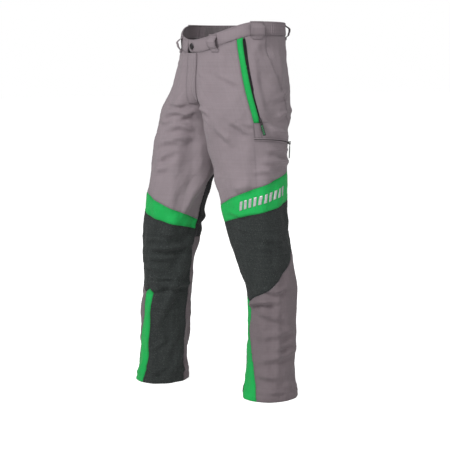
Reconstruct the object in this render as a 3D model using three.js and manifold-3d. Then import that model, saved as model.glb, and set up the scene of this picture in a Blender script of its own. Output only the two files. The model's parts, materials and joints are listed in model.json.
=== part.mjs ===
// Chainsaw protective trousers in their worn shape, standing on both hems. Millimetres, +Z up.
// The wearer faces -Y and their left side is +X. The origin is the centre of the footprint.
import * as THREE from "three";
import { mergeVertices } from "three/addons/utils/BufferGeometryUtils.js";
import Module from "manifold-3d";

const wasm = await Module();
wasm.setup();

// ---------- driving sizes ----------
const inseam = 780; // crotch above the hems
const rise = 256; // crotch to the waist's top edge at the sides
const girthEase = 0; // added to every half-width, for a roomier or tighter cut
const waistbandHeight = 36;
const waistbandDip = 47; // how much lower the waist sits at the front
const clothThickness = 1.6;
const waistbandThickness = 3;
const padThickness = 4.4;
const liningThickness = 1.3;
const layerGap = 2.9; // air between two layers of cloth
const seamGap = 1; // between two panels that are sewn edge to edge
const hemDepth = 26;
const hemLift = 0.4; // the outer cloth ends this far above the turned-up hem
const weltWidth = 15;
const zipHalfWidth = 5;
const tapeHalfWidth = 4;
const loopWidth = 28;
const sideLoopWidth = 38;
const loopStandOff = 13;
const loopThickness = 1.8;
const buttonRadius = 8.5;
const flyHalfWidth = 22;
const sliderWidth = 8.4;
const sliderLength = 13;
const tabLength = 32;
const tabWidth = 7.4;
const tabThickness = 2.2;
const cargoPullLift = 6; // degrees that a cargo zip's pull stands off the thigh

// The body's shape at stations from the hem to the waist: how far a leg's centre is from the middle,
// its half-width and half-depth, and how far back the left and right legs stand.
const crotch = inseam;
const station = (z, centre, halfWidth, halfDepth, backLeft, backRight) => ({
  z,
  centre,
  halfWidth: halfWidth + girthEase,
  halfDepth: halfDepth + girthEase,
  backLeft,
  backRight,
});
const stations = [
  station(0, 165, 73, 80, 20, -136),
  station(inseam * 0.13, 160, 71, 78, 27, -134),
  station(inseam * 0.26, 152, 71, 78, 36, -133),
  station(inseam * 0.385, 142, 73, 80, 40, -127),
  station(inseam * 0.51, 130, 78, 86, 25, -132),
  station(inseam * 0.64, 118, 82, 89, 6, -125),
  station(inseam * 0.77, 107 + girthEase / 2, 87, 95, -3, -108),
  station(inseam * 0.9, 100 + girthEase, 92, 106, -2, -84),
  station(crotch, 98 + girthEase, 98, 122, -4, -50),
  station(crotch + rise * 0.31, 52, 136, 131, 8, -20),
  station(crotch + rise * 0.59, 20, 160, 132, 8, -2),
  station(crotch + rise * 0.78, 0, 170, 134, 5, 5),
  station(crotch + rise + 10, 0, 165, 132, 3, 3),
];

// ---------- small helpers ----------
const degree = Math.PI / 180;
const lerp = (a, b, t) => a + (b - a) * t;
const smooth = (a, b, x) => {
  const t = Math.min(1, Math.max(0, (x - a) / (b - a)));
  return t * t * (3 - 2 * t);
};

// A straight line between knots, each a pair of where and how much.
function along(knots, at) {
  let i = 0;
  while (i < knots.length - 2 && at > knots[i + 1][0]) i++;
  const [[low, a], [high, b]] = [knots[i], knots[i + 1]];
  return lerp(a, b, Math.min(1, Math.max(0, (at - low) / (high - low))));
}

// A monotone cubic through the stations' values of one key.
function profile(key) {
  const z = stations.map((s) => s.z);
  const v = stations.map((s) => s[key]);
  const rate = v.slice(1).map((x, i) => (x - v[i]) / (z[i + 1] - z[i]));
  const slope = v.map((_, i) => {
    const [before, after] = [rate[i - 1], rate[i]];
    if (before === undefined) return after;
    if (after === undefined) return before;
    return before * after <= 0 ? 0 : (2 * before * after) / (before + after);
  });
  return (at) => {
    let i = 0;
    while (i < z.length - 2 && at > z[i + 1]) i++;
    const h = z[i + 1] - z[i];
    const t = (at - z[i]) / h;
    const rest = 1 - t;
    return (
      (1 + 2 * t) * rest * rest * v[i] +
      t * rest * rest * h * slope[i] +
      t * t * (3 - 2 * t) * v[i + 1] -
      t * t * rest * h * slope[i + 1]
    );
  };
}
const centreAt = profile("centre");
const halfWidthAt = profile("halfWidth");
const halfDepthAt = profile("halfDepth");
const backAt = { 1: profile("backLeft"), "-1": profile("backRight") };
const toeOut = { 1: 3, "-1": 17 }; // degrees that each lower leg turns outwards

const turnAt = (side, z) => toeOut[side] * (1 - smooth(inseam * 0.38, crotch, z));

// A point on the cloth. angle is 0 at the front of the leg, 90 outside, 180 behind, -90 inside.
function onCloth(side, angle, z) {
  const a = (angle + turnAt(side, z)) * degree;
  const x = centreAt(z) + halfWidthAt(z) * Math.sin(a);
  const middle = (backAt[1](z) + backAt[-1](z)) / 2;
  const share = lerp(1, smooth(0, 100, Math.abs(x)), smooth(inseam * 0.69, inseam * 1.01, z));
  const back = middle + (backAt[side](z) - middle) * share;
  return new THREE.Vector3(side * x, back - halfDepthAt(z) * Math.cos(a), z);
}

function outwards(side, angle, z) {
  const around = onCloth(side, angle + 0.5, z).sub(onCloth(side, angle - 0.5, z));
  const up = onCloth(side, angle, z + 1).sub(onCloth(side, angle, z - 1));
  return around.cross(up).normalize().multiplyScalar(side);
}

// The same point moved out along the cloth's normal. It stays on its own side of the middle seam.
function offCloth(side, angle, z, out, keepSide = true) {
  const p = onCloth(side, angle, z).addScaledVector(outwards(side, angle, z), out);
  if (keepSide) p.x = side * Math.max(side * p.x, seamGap / 2);
  return p;
}

const spanOf = (side, angle, z) =>
  onCloth(side, angle + 0.5, z).distanceTo(onCloth(side, angle - 0.5, z)); // millimetres a degree

// The angle at which the cloth meets the plane x, in front of the body.
function frontAngle(side, z, x = 0) {
  const share = Math.max(-1, Math.min(1, (x - centreAt(z)) / halfWidthAt(z)));
  return Math.asin(share) / degree - turnAt(side, z);
}
const backAngle = (side, z) => 180 - frontAngle(side, z) - 2 * turnAt(side, z);

// Closes an outer and an inner grid of points into one solid.
function closeShell(outer, inner, turned) {
  const rows = outer.length;
  const columns = outer[0].length;
  const points = [...outer.flat(), ...inner.flat()];
  const at = (i, j, layer) => layer * rows * columns + i * columns + j;
  const faces = [];
  const quad = (a, b, c, d) => {
    faces.push(...(turned ? [a, c, b, a, d, c] : [a, b, c, a, c, d]));
  };
  for (let i = 0; i < rows - 1; i++) {
    for (let j = 0; j < columns - 1; j++) {
      quad(at(i, j, 0), at(i, j + 1, 0), at(i + 1, j + 1, 0), at(i + 1, j, 0));
      quad(at(i, j, 1), at(i + 1, j, 1), at(i + 1, j + 1, 1), at(i, j + 1, 1));
    }
  }
  const last = { row: rows - 1, column: columns - 1 };
  for (let j = 0; j < columns - 1; j++) {
    quad(at(0, j, 1), at(0, j + 1, 1), at(0, j + 1, 0), at(0, j, 0));
    quad(at(last.row, j, 0), at(last.row, j + 1, 0), at(last.row, j + 1, 1), at(last.row, j, 1));
  }
  for (let i = 0; i < rows - 1; i++) {
    quad(at(i, 0, 0), at(i + 1, 0, 0), at(i + 1, 0, 1), at(i, 0, 1));
    quad(
      at(i, last.column, 1),
      at(i + 1, last.column, 1),
      at(i + 1, last.column, 0),
      at(i, last.column, 0),
    );
  }
  return new THREE.BufferGeometry()
    .setAttribute(
      "position",
      new THREE.Float32BufferAttribute(
        points.flatMap((p) => [p.x, p.y, p.z]),
        3,
      ),
    )
    .setIndex(faces);
}

// A panel of cloth. rows lists its heights from the bottom up, each a number or a function of angle.
function panel(side, { from, to, rows, columns, out = 0, thickness = clothThickness, keepSide = true }) {
  const rowAt = (row, angle) => (typeof row === "function" ? row(angle) : row);
  const outAt = (i) => (Array.isArray(out) ? out[i] : out);
  const grid = (depth) =>
    rows.map((row, i) =>
      Array.from({ length: columns + 1 }, (_, j) => {
        let z = rowAt(row, 0);
        let angle = 0;
        for (let step = 0; step < 12; step++) {
          const trim = seamGap / 2 / spanOf(side, angle, z);
          angle = lerp(from(z) + trim, to(z) - trim, j / columns);
          z = rowAt(row, angle);
        }
        if (i === 0) z += seamGap / 2;
        if (i === rows.length - 1) z -= seamGap / 2;
        return offCloth(side, angle, z, outAt(i) - depth, keepSide);
      }),
    );
  return closeShell(grid(0), grid(thickness), side < 0);
}

// ---------- solids ----------
function solid(geometry) {
  const plain = geometry.index ? geometry.toNonIndexed() : geometry.clone();
  plain.deleteAttribute("normal");
  plain.deleteAttribute("uv");
  const merged = mergeVertices(plain, 1e-4);
  const faces = Array.from(merged.index.array);
  const build = (triVerts) =>
    new wasm.Manifold(
      new wasm.Mesh({
        numProp: 3,
        vertProperties: new Float32Array(merged.attributes.position.array),
        triVerts: new Uint32Array(triVerts),
      }),
    );
  const made = build(faces);
  return made.volume() > 0 ? made : build(faces.map((_, i) => faces[i - (i % 3) + [0, 2, 1][i % 3]]));
}
function geometryOf(made) {
  const mesh = made.getMesh();
  return new THREE.BufferGeometry()
    .setAttribute("position", new THREE.BufferAttribute(mesh.vertProperties, 3))
    .setIndex(new THREE.BufferAttribute(mesh.triVerts, 1));
}
const block = (width, length, height, x, y, z) =>
  solid(new THREE.BoxGeometry(width, length, height).translate(x, y, z));

// ---------- materials ----------
const finish = (color, roughness, metalness = 0) =>
  new THREE.MeshStandardMaterial({ color, roughness, metalness });
const finishes = {
  stretchGrey: finish(0x8b7f86, 0.85),
  armourDark: finish(0x3c4244, 0.9),
  signalGreen: finish(0x1fb54f, 0.8),
  ventBlack: finish(0x17181a, 0.95),
  zipBlack: finish(0x101112, 0.6),
  darkMetal: finish(0x5a5658, 0.35, 0.9),
  pullRubber: finish(0x161817, 0.7),
  padYellow: finish(0xd8c870, 0.95),
  liningGrey: finish(0x55585c, 0.95),
  elasticGrey: finish(0x77716f, 0.9),
  reflective: finish(0xc9cccd, 0.3, 0.5),
};

const trousers = new THREE.Group();
const add = (name, geometry, material) => {
  const mesh = new THREE.Mesh(geometry, finishes[material]);
  mesh.name = name;
  trousers.add(mesh);
  return mesh;
};

// ---------- pattern lines, as angles or heights on each leg ----------
const outseam = 150;
const innerBack = 228; // the back panels' inner edge on the lower leg, as a full angle
const cargoLine = inseam * 0.917;
const kneeTop = inseam * 0.55;
const thighSeam = 62; // where the front and side thigh panels meet
const bandTop = (angle) => inseam * 0.7115 + 0.55 * angle;
const bandLow = (angle) => inseam * 0.641 + 0.34 * angle;
const stripeTop = inseam * 0.346;
const stripeInner = (z) => lerp(-30, -40, smooth(0, inseam * 0.12, z));
const stripeOuter = (z) => Math.max(25 - (200 * z) / 1000, -14);
const kneeEnd = inseam * 0.5385;
const waistLow = (angle) =>
  crotch + rise - waistbandHeight - waistbandDip * (1 - smooth(0, 80, Math.abs(angle)));
const waistTop = (angle) => waistLow(angle) + waistbandHeight;

// The dark armour panel's outer edge: it follows the green stripe and then sweeps up and outwards.
const sweep = [
  [stripeTop, -14],
  [stripeTop + 13, 8],
  [stripeTop + 31, 40],
  [stripeTop + 70, 78],
  [stripeTop + 113, 117],
  [kneeEnd, 144],
];
const step = 0.6; // a panel's edge jumps aside over this height, at a zip's or a stripe's end
const aboveStripe = [[stripeTop, stripeInner(stripeTop)], [stripeTop + step, -13], ...sweep.slice(1)];
function armourOuter(z) {
  if (z <= stripeTop) return stripeInner(z);
  return z > kneeEnd ? outseam : along(aboveStripe, z);
}
// From the crotch down, the seam between the front and back panels moves behind the leg.
const innerSeamEnd = inseam * 0.8;
const innerSeam = (side, z) =>
  z >= crotch
    ? frontAngle(side, z)
    : lerp(innerBack - 360, -90, Math.max(0, (z - innerSeamEnd) / (crotch - innerSeamEnd)));
const backSeam = (side, z) => (z >= crotch ? backAngle(side, z) : innerSeam(side, z) + 360);
// The seat's front edge, from the outseam up to the waistband.
const seatKnots = [
  [cargoLine, outseam],
  [cargoLine + 50, 131],
  [cargoLine + 90, 119],
  [cargoLine + 130, 110.5],
  [cargoLine + 170, 101],
  [cargoLine + 210, 87],
  [crotch + rise, 86],
];
const seatEdge = (z) => along(seatKnots, z);

// ---------- zips ----------
// The circle through three points. A slider follows it exactly, as a joint that turns about its axis.
function arcThrough(start, middle, end, normal) {
  const a = middle.clone().sub(start);
  const b = end.clone().sub(start);
  const cross = a.clone().cross(b);
  const centre = b
    .clone()
    .multiplyScalar(a.lengthSq())
    .addScaledVector(a, -b.lengthSq())
    .cross(cross)
    .divideScalar(2 * cross.lengthSq())
    .add(start);
  const axis = cross.clone().normalize();
  const spoke = start.clone().sub(centre);
  const last = end.clone().sub(centre);
  const total = Math.acos(Math.min(1, spoke.dot(last) / spoke.lengthSq()));
  const half = normal.clone().applyAxisAngle(axis, -total / 2);
  const forward = axis.clone().cross(spoke).normalize();
  const up = half.addScaledVector(forward, -half.dot(forward)).normalize();
  const across = forward.clone().cross(up);
  const place = (turn, x, z, y = 0) =>
    spoke
      .clone()
      .addScaledVector(across, x)
      .addScaledVector(up, z)
      .addScaledVector(forward, y)
      .applyAxisAngle(axis, turn)
      .add(centre);
  return { centre, axis, total, forward, up, across, start: start.clone(), place };
}

// A zip's tape with its raised row of teeth, swept along the arc.
const tapeSection = (depth) => [
  [-tapeHalfWidth, depth - 1.2],
  [tapeHalfWidth, depth - 1.2],
  [tapeHalfWidth, depth],
  [2.2, depth],
  [2.2, depth + 1.2],
  [-2.2, depth + 1.2],
  [-2.2, depth],
  [-tapeHalfWidth, depth],
];
function zipTape(arc, section, steps, from = 0, to = 1) {
  const rings = Array.from({ length: steps + 1 }, (_, i) =>
    section.map(([x, z]) => arc.place(arc.total * lerp(from, to, i / steps), x, z)),
  );
  const n = section.length;
  const flat = section.map(([x, z]) => new THREE.Vector2(x, z));
  const cap = THREE.ShapeUtils.triangulateShape(flat, []);
  const faces = [];
  for (let i = 0; i < steps; i++) {
    for (let j = 0; j < n; j++) {
      const [a, b] = [i * n + j, i * n + ((j + 1) % n)];
      faces.push(a, b + n, b, a, a + n, b + n);
    }
  }
  cap.forEach(([a, b, c]) => {
    faces.push(a, b, c);
    faces.push(steps * n + a, steps * n + c, steps * n + b);
  });
  const geometry = new THREE.BufferGeometry()
    .setAttribute(
      "position",
      new THREE.Float32BufferAttribute(
        rings.flat().flatMap((p) => [p.x, p.y, p.z]),
        3,
      ),
    )
    .setIndex(faces);
  return geometryOf(solid(geometry));
}

const bridgeHeight = 4.2;
const bridgeLength = 9;
const bridgeWidth = 3;
const pinHeight = 4.4; // the pull's cross bar above the teeth
const linkLength = 12;
const linkHalfWidth = 3.6;
const linkBar = 1.4;

// A slider in its own frame: x across the zip, y along it, z outwards from the top of the teeth.
function sliderBody(turned) {
  const plate = new THREE.Shape()
    .moveTo(-sliderWidth / 2, 1)
    .lineTo(-sliderWidth / 2 + 1.4, -sliderLength / 2)
    .lineTo(sliderWidth / 2 - 1.4, -sliderLength / 2)
    .lineTo(sliderWidth / 2, 1)
    .lineTo(sliderWidth / 2 - 1, sliderLength / 2)
    .lineTo(-sliderWidth / 2 + 1, sliderLength / 2)
    .closePath();
  const base = solid(new THREE.ExtrudeGeometry(plate, { depth: 2.2, bevelEnabled: false }).translate(0, 0, 0.4));
  const bridge = block(bridgeWidth, bridgeLength, bridgeHeight, 0, 0, 2.4 + bridgeHeight / 2)
    .subtract(block(bridgeWidth + 1, bridgeLength - 3.4, bridgeHeight - 1.6, 0, 0, pinHeight))
    .rotate(0, 0, turned ? 90 : 0);
  return base.add(bridge);
}
// The pull: a link whose cross bar lies in the slider's bridge, with a moulded tab below it.
function pullBody() {
  const link = block(2 * linkHalfWidth, linkLength, linkBar, 0, linkBar / 2 - linkLength / 2, pinHeight).subtract(
    block(
      2 * (linkHalfWidth - linkBar),
      linkLength - 2 * linkBar,
      linkBar * 2,
      0,
      linkBar / 2 - linkLength / 2,
      pinHeight,
    ),
  );
  const end = linkBar / 2 - linkLength;
  const tab = block(tabWidth, tabLength, tabThickness, 0, end - tabLength / 2 + 1, pinHeight);
  return link.add(tab);
}
// The frame of a slider that rests at the start of its arc, a little way in.
function sliderFrame(arc, depth, inwards) {
  const turn = inwards / arc.start.distanceTo(arc.centre);
  const origin = arc.place(turn, 0, depth + 1.2);
  const x = arc.across.clone().applyAxisAngle(arc.axis, turn);
  const y = arc.forward.clone().applyAxisAngle(arc.axis, turn);
  const z = arc.up.clone().applyAxisAngle(arc.axis, turn);
  return { matrix: new THREE.Matrix4().makeBasis(x, y, z).setPosition(origin), x, y, z, origin, turn };
}
const joints = [];
const zipDepth = -0.2; // the tape's face, measured out from the cloth

function addSlider(name, arc, { depth = zipDepth, hangs = 0, inwards = 8, stop = 8, body, pull }) {
  const frame = sliderFrame(arc, depth, inwards);
  add(`${name}_slider`, geometryOf(body).applyMatrix4(frame.matrix), "darkMetal");
  const radius = arc.start.distanceTo(arc.centre);
  joints.push({
    name: `${name}_slide`,
    parent: "garment",
    child: `${name}_slider`,
    at: arc.centre,
    axis: arc.axis,
    degrees: (arc.total - frame.turn - stop / radius) / degree,
  });
  if (!pull) return;
  add(`${name}_pull`, geometryOf(pull).applyMatrix4(frame.matrix), "pullRubber");
  joints.push({
    name: `${name}_swing`,
    parent: `${name}_slider`,
    child: `${name}_pull`,
    at: frame.origin.clone().addScaledVector(frame.z, pinHeight),
    axis: hangs ? frame.y.clone().multiplyScalar(hangs) : frame.x.clone().negate(),
    degrees: 150,
  });
}

// Where a zip's arc runs on a leg, as pairs of angle and height.
function traceOn(side, arc) {
  return Array.from({ length: 61 }, (_, i) => {
    const p = arc.place((arc.total * i) / 60, 0, 0);
    const back = onCloth(side, 90 - turnAt(side, p.z), p.z).y;
    const x = (side * p.x - centreAt(p.z)) / halfWidthAt(p.z);
    const y = (back - p.y) / halfDepthAt(p.z);
    return { angle: Math.atan2(x, y) / degree - turnAt(side, p.z), z: p.z };
  });
}
function lookUp(trace, key, value, wanted) {
  const list = [...trace].sort((a, b) => a[key] - b[key]);
  let i = 0;
  while (i < list.length - 2 && value > list[i + 1][key]) i++;
  const [a, b] = [list[i], list[i + 1]];
  return lerp(a[wanted], b[wanted], (value - a[key]) / (b[key] - a[key]));
}

const thighZip = { bottom: cargoLine + 50, top: crotch + rise - waistbandHeight - 12 };
const flyZip = { bottom: crotch + 72, top: crotch + rise - waistbandHeight - waistbandDip - 6 };
const flyDepth = -2.3;

const zips = {};
for (const side of [1, -1]) {
  const onThigh = (share, angle) => onCloth(side, angle, lerp(thighZip.bottom, thighZip.top, share));
  const thigh = arcThrough(
    onThigh(0, 75),
    onThigh(0.5, 62),
    onThigh(1, 61),
    outwards(side, 64, (thighZip.bottom + thighZip.top) / 2),
  );
  const cargo = arcThrough(
    offCloth(side, outseam - 3, cargoLine - 9, 0.6),
    offCloth(side, (outseam + thighSeam) / 2, cargoLine + 2, 0.6),
    offCloth(side, thighSeam + 2, cargoLine + 7, 0.6),
    outwards(side, (outseam + thighSeam) / 2, cargoLine),
  );
  zips[side] = { thigh, cargo, thighTrace: traceOn(side, thigh), cargoTrace: traceOn(side, cargo) };
}
const centreFront = (z) => onCloth(1, frontAngle(1, z), z);
const flyMiddle = (flyZip.bottom + flyZip.top) / 2;
const fly = arcThrough(
  centreFront(flyZip.top),
  centreFront(flyMiddle),
  centreFront(flyZip.bottom),
  new THREE.Vector3(0, -1, 0),
);

// ---------- each leg's cloth ----------
for (const side of [1, -1]) {
  const leg = side > 0 ? "left" : "right";
  const { thigh, cargo, thighTrace, cargoTrace } = zips[side];
  const zipAngle = (z) => lookUp(thighTrace, "z", z, "angle");
  const cargoHeight = (angle) => lookUp(cargoTrace, "angle", angle, "z");
  const degreesOf = (length, z) => length / spanOf(side, zipAngle(z), z);
  const below = (z) =>
    lerp(thighSeam, zipAngle(thighZip.bottom), smooth(cargoLine + 22, thighZip.bottom - 4, z));
  const weltBack = (z) => zipAngle(z) - degreesOf(zipHalfWidth, z);
  const weltFront = (z) => weltBack(z) - degreesOf(weltWidth, z);
  const frontEdge = (z) => (z <= thighZip.bottom ? below(z) : weltFront(z));
  const sideEdge = (z) => (z <= thighZip.bottom ? below(z) : zipAngle(z) + degreesOf(zipHalfWidth, z));
  const hipRows = [20, 32, 44, 50, 50 + step, 65, 90, 110, 130, 170, 210, 248].map((h) => cargoLine + h);
  const inner = (z) => innerSeam(side, z);
  const atFly = (z) => (z > flyZip.bottom - 8 ? frontAngle(side, z, zipHalfWidth) : inner(z));
  const between = (f, g, share) => (angle) => lerp(f(angle), g(angle), share);
  const plain = (z) => () => z;
  const thighRows = [kneeTop, ...[0.595, 0.64, 0.7, 0.755, 0.8, 0.86].map((r) => r * inseam), cargoLine];

  add(
    `front_thigh_${leg}`,
    panel(side, {
      from: atFly,
      to: frontEdge,
      rows: [
        bandTop,
        ...[0.12, 0.45, 0.755].map((t) => between(bandTop, plain(innerSeamEnd), t)),
        innerSeamEnd,
        inseam * 0.86,
        cargoLine,
        ...hipRows.slice(0, 8),
        flyZip.bottom - 8,
        flyZip.bottom - 8 + step,
        hipRows[9],
        hipRows[10],
        between(plain(hipRows[10]), waistLow, 0.5),
        waistLow,
      ],
      columns: 14,
    }),
    "stretchGrey",
  );
  add(
    `side_hip_${leg}`,
    panel(side, {
      from: sideEdge,
      to: seatEdge,
      rows: [(angle) => cargoHeight(angle) + zipHalfWidth, ...hipRows, waistLow],
      columns: 7,
    }),
    "stretchGrey",
  );
  add(
    `side_thigh_${leg}`,
    panel(side, {
      from: () => thighSeam,
      to: () => outseam,
      rows: [0, 0.33, 0.67, 1].map((t) => between(bandTop, (angle) => cargoHeight(angle) - zipHalfWidth, t)),
      columns: 7,
    }),
    "stretchGrey",
  );
  add(
    `seat_${leg}`,
    panel(side, {
      from: seatEdge,
      to: (z) => backSeam(side, z),
      rows: [cargoLine, hipRows[1], hipRows[3], ...hipRows.slice(5), waistLow],
      columns: 9,
    }),
    "stretchGrey",
  );
  add(
    `back_thigh_${leg}`,
    panel(side, {
      from: () => outseam,
      to: (z) => backSeam(side, z),
      rows: thighRows,
      columns: 6,
    }),
    "ventBlack",
  );
  add(
    `knee_band_${leg}`,
    panel(side, { from: inner, to: () => outseam, rows: [bandLow, between(bandLow, bandTop, 0.5), bandTop], columns: 20 }),
    "signalGreen",
  );
  const shin = [hemLift, ...[0.2, 0.4, 0.6, 0.8, 1].map((t) => t * stripeTop)];
  const swept = sweep.slice(1).flatMap(([z], i) => (i ? [(sweep[i][0] + z) / 2, z] : [z]));
  const steps = [1 / 3, 2 / 3, 1].map((t) => stripeTop + step * t);
  add(
    `armour_panel_${leg}`,
    panel(side, {
      from: () => innerBack - 360,
      to: armourOuter,
      rows: [...shin, ...steps, ...swept, kneeEnd + step, ...[0.33, 0.67].map((t) => between(plain(kneeEnd), bandLow, t)), bandLow],
      columns: 20,
    }),
    "armourDark",
  );
  add(
    `shin_stripe_${leg}`,
    panel(side, { from: stripeInner, to: stripeOuter, rows: shin, columns: 4 }),
    "signalGreen",
  );
  add(
    `calf_side_${leg}`,
    panel(side, {
      from: (z) => (z < stripeTop ? stripeOuter(z) : along(sweep, z)),
      to: () => outseam,
      rows: [...shin, stripeTop + step, stripeTop + 6.5, ...swept],
      columns: 10,
    }),
    "stretchGrey",
  );
  add(
    `calf_back_${leg}`,
    panel(side, {
      from: () => outseam,
      to: () => innerBack,
      rows: [...shin, ...swept, kneeTop],
      columns: 6,
    }),
    "stretchGrey",
  );

  // Layers inside the leg: the cut protection in front, and the lining.
  const padFace = -(clothThickness + layerGap);
  const padInner = (z) => Math.max(-104 - turnAt(side, z), frontAngle(side, z) + 10);
  const padTop = (angle) => lerp(crotch + 50, cargoLine + 20, smooth(25, 55, angle));
  const legRows = [...shin.slice(1), ...[2, 4, 5, 6, 7, 8].map((i) => swept[i]), ...thighRows.slice(1, -1)];
  const upperRows = [0.28, 0.48, 0.59, 0.69, 0.84, 1].map((t) => between(plain(inseam * 0.86), padTop, t));
  add(
    `cut_protection_${leg}`,
    panel(side, {
      from: padInner,
      to: () => 110,
      rows: [...legRows, ...upperRows],
      columns: 15,
      out: padFace,
      thickness: padThickness,
    }),
    "padYellow",
  );
  const underBand = (angle) => waistLow(angle) - 3;
  add(
    `lining_front_${leg}`,
    panel(side, {
      from: padInner,
      to: () => 110,
      rows: [
        hemDepth + 6,
        ...legRows,
        ...upperRows,
        ...[0.18, 0.36, 0.56, 0.78, 1].map((t) => between(padTop, underBand, t)),
      ],
      columns: 15,
      out: padFace - padThickness - layerGap + 0.4,
      thickness: liningThickness,
    }),
    "liningGrey",
  );
  add(
    `lining_back_${leg}`,
    panel(side, {
      from: () => 112,
      to: (z) => Math.min(252 - turnAt(side, z), backAngle(side, z) - 8),
      rows: [hemDepth + 6, ...legRows, cargoLine, hipRows[1], hipRows[3], ...hipRows.slice(5), underBand],
      columns: 11,
      out: padFace - 0.8,
      thickness: liningThickness,
    }),
    "liningGrey",
  );
  const turnUp = panel(side, {
    from: () => innerBack - 360,
    to: () => innerBack,
    rows: [-4, hemDepth],
    columns: 26,
    out: -(clothThickness + 0.9),
    thickness: clothThickness,
  });
  add(`hem_${leg}`, geometryOf(solid(turnUp).trimByPlane([0, 0, 1], 0)), "stretchGrey");

  // The thigh pocket's zip and its green welt, and the cargo pocket's zip.
  const weltRows = [thighZip.bottom + 1.4, ...hipRows.slice(5)];
  add(
    `thigh_zip_welt_${leg}`,
    panel(side, {
      from: weltFront,
      to: weltBack,
      rows: [...weltRows, (angle) => waistLow(angle)],
      columns: 3,
      out: 1.4,
      thickness: 2.8,
    }),
    "signalGreen",
  );
  add(`thigh_zip_tape_${leg}`, zipTape(thigh, tapeSection(zipDepth), 11, 0.015), "zipBlack");
  add(`cargo_zip_tape_${leg}`, zipTape(cargo, tapeSection(zipDepth), 11), "zipBlack");
  addSlider(`thigh_zip_${leg}`, thigh, { body: sliderBody(false), pull: pullBody() });
  const hangs = side;
  addSlider(`cargo_zip_${leg}`, cargo, {
    body: sliderBody(true),
    pull: pullBody()
      .translate(0, 0, -pinHeight)
      .rotate(-cargoPullLift, 0, 0)
      .translate(0, 0, pinHeight)
      .rotate(0, 0, -90 * side),
    hangs,
  });
}

// ---------- waist ----------
const frontWrap = 8; // the buttoned end reaches this many degrees past the middle
const elasticFrom = 86;
add(
  "waistband_left",
  panel(1, {
    from: () => -frontWrap,
    to: () => elasticFrom,
    rows: [waistLow, (angle) => waistLow(angle) + waistbandHeight / 2, waistTop],
    columns: 12,
    out: 0.8,
    thickness: waistbandThickness,
    keepSide: false,
  }),
  "stretchGrey",
);
add(
  "waistband_right",
  panel(-1, {
    from: () => frontWrap,
    to: () => elasticFrom,
    rows: [waistLow, (angle) => waistLow(angle) + waistbandHeight / 2, waistTop],
    columns: 10,
    out: 0.8,
    thickness: waistbandThickness,
    keepSide: false,
  }),
  "stretchGrey",
);
add(
  "waistband_back",
  panel(1, {
    from: () => elasticFrom,
    to: () => 360 - elasticFrom,
    rows: [waistLow, (angle) => waistLow(angle) + waistbandHeight / 2, waistTop],
    columns: 20,
    out: 0.8,
    thickness: waistbandThickness,
    keepSide: false,
  }),
  "stretchGrey",
);
add(
  "waist_elastic",
  panel(1, {
    from: () => elasticFrom + 9.4,
    to: () => 360 - elasticFrom - 9.4,
    rows: [(angle) => waistLow(angle) + 4, (angle) => waistTop(angle) - 4],
    columns: 18,
    out: 0.05 - waistbandThickness,
    thickness: liningThickness,
    keepSide: false,
  }),
  "elasticGrey",
);

// A belt loop: a strap sewn down above and below, standing off the band between.
function beltLoop(side, angle, width) {
  const low = waistLow(Math.min(angle, 360 - angle)) - 12;
  const high = low + waistbandHeight + 12;
  const half = width / 2 / spanOf(side, angle, high);
  return panel(side, {
    from: () => angle - half,
    to: () => angle + half,
    rows: [low, low + 7, low + 13, low + 22, (low + high) / 2 + 5, high - 13, high - 6, high],
    columns: 3,
    out: [
      1.1 + loopThickness,
      1.3 + loopThickness,
      loopStandOff * 0.7 + loopThickness,
      loopStandOff + loopThickness,
      loopStandOff + 1 + loopThickness,
      loopStandOff * 0.75 + loopThickness,
      1.6 + loopThickness,
      1.4 + loopThickness,
    ],
    thickness: loopThickness,
    keepSide: false,
  });
}
add("belt_loop_front_left", beltLoop(1, 28, loopWidth), "stretchGrey");
add("belt_loop_front_right", beltLoop(-1, 28, loopWidth), "stretchGrey");
add("belt_loop_side_left", beltLoop(1, 76, sideLoopWidth), "stretchGrey");
add("belt_loop_side_right", beltLoop(-1, 76, sideLoopWidth), "stretchGrey");
add("belt_loop_back_left", beltLoop(1, 145, loopWidth), "stretchGrey");
add("belt_loop_back_right", beltLoop(-1, 145, loopWidth), "stretchGrey");
add("belt_loop_centre_back", beltLoop(1, 180, loopWidth), "stretchGrey");

// ---------- fly ----------
const flap = { bottom: crotch + 34, top: waistLow(0) - 0.6 };
function flyLayer(halfWidth, out, thickness, bottom, top) {
  const rows = 7;
  const columns = 8;
  const grid = (depth) =>
    Array.from({ length: rows + 1 }, (_, i) => {
      const z = lerp(bottom, top, i / rows);
      return Array.from({ length: columns + 1 }, (_, j) => {
        const x = lerp(-halfWidth, halfWidth, j / columns);
        const half = x < 0 ? -1 : 1;
        const y = onCloth(half, frontAngle(half, z, Math.abs(x)), z).y;
        return new THREE.Vector3(x, y - out(Math.abs(x)) + depth, z);
      });
    });
  return closeShell(grid(0), grid(thickness), false);
}
const flapOut = (x) => clothThickness + lerp(3.8, 1.7, smooth(8, 17, x));
add("fly_placket", flyLayer(flyHalfWidth, flapOut, clothThickness, flap.bottom, flap.top), "stretchGrey");
add("fly_shield", flyLayer(15, () => -6.2, 1.4, flyZip.bottom, flap.top), "liningGrey");
add("fly_zip_tape", zipTape(fly, tapeSection(flyDepth), 8), "zipBlack");
const flySlider = solid(new THREE.BoxGeometry(7, 11, 1.8).translate(0, 0, 1.3));
const flyPull = solid(new THREE.BoxGeometry(4.4, 17, 1.1).translate(0, 6, 2.7));
addSlider("fly_zip", fly, { depth: flyDepth, body: flySlider.add(flyPull), inwards: 7, stop: 14 });

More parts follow.
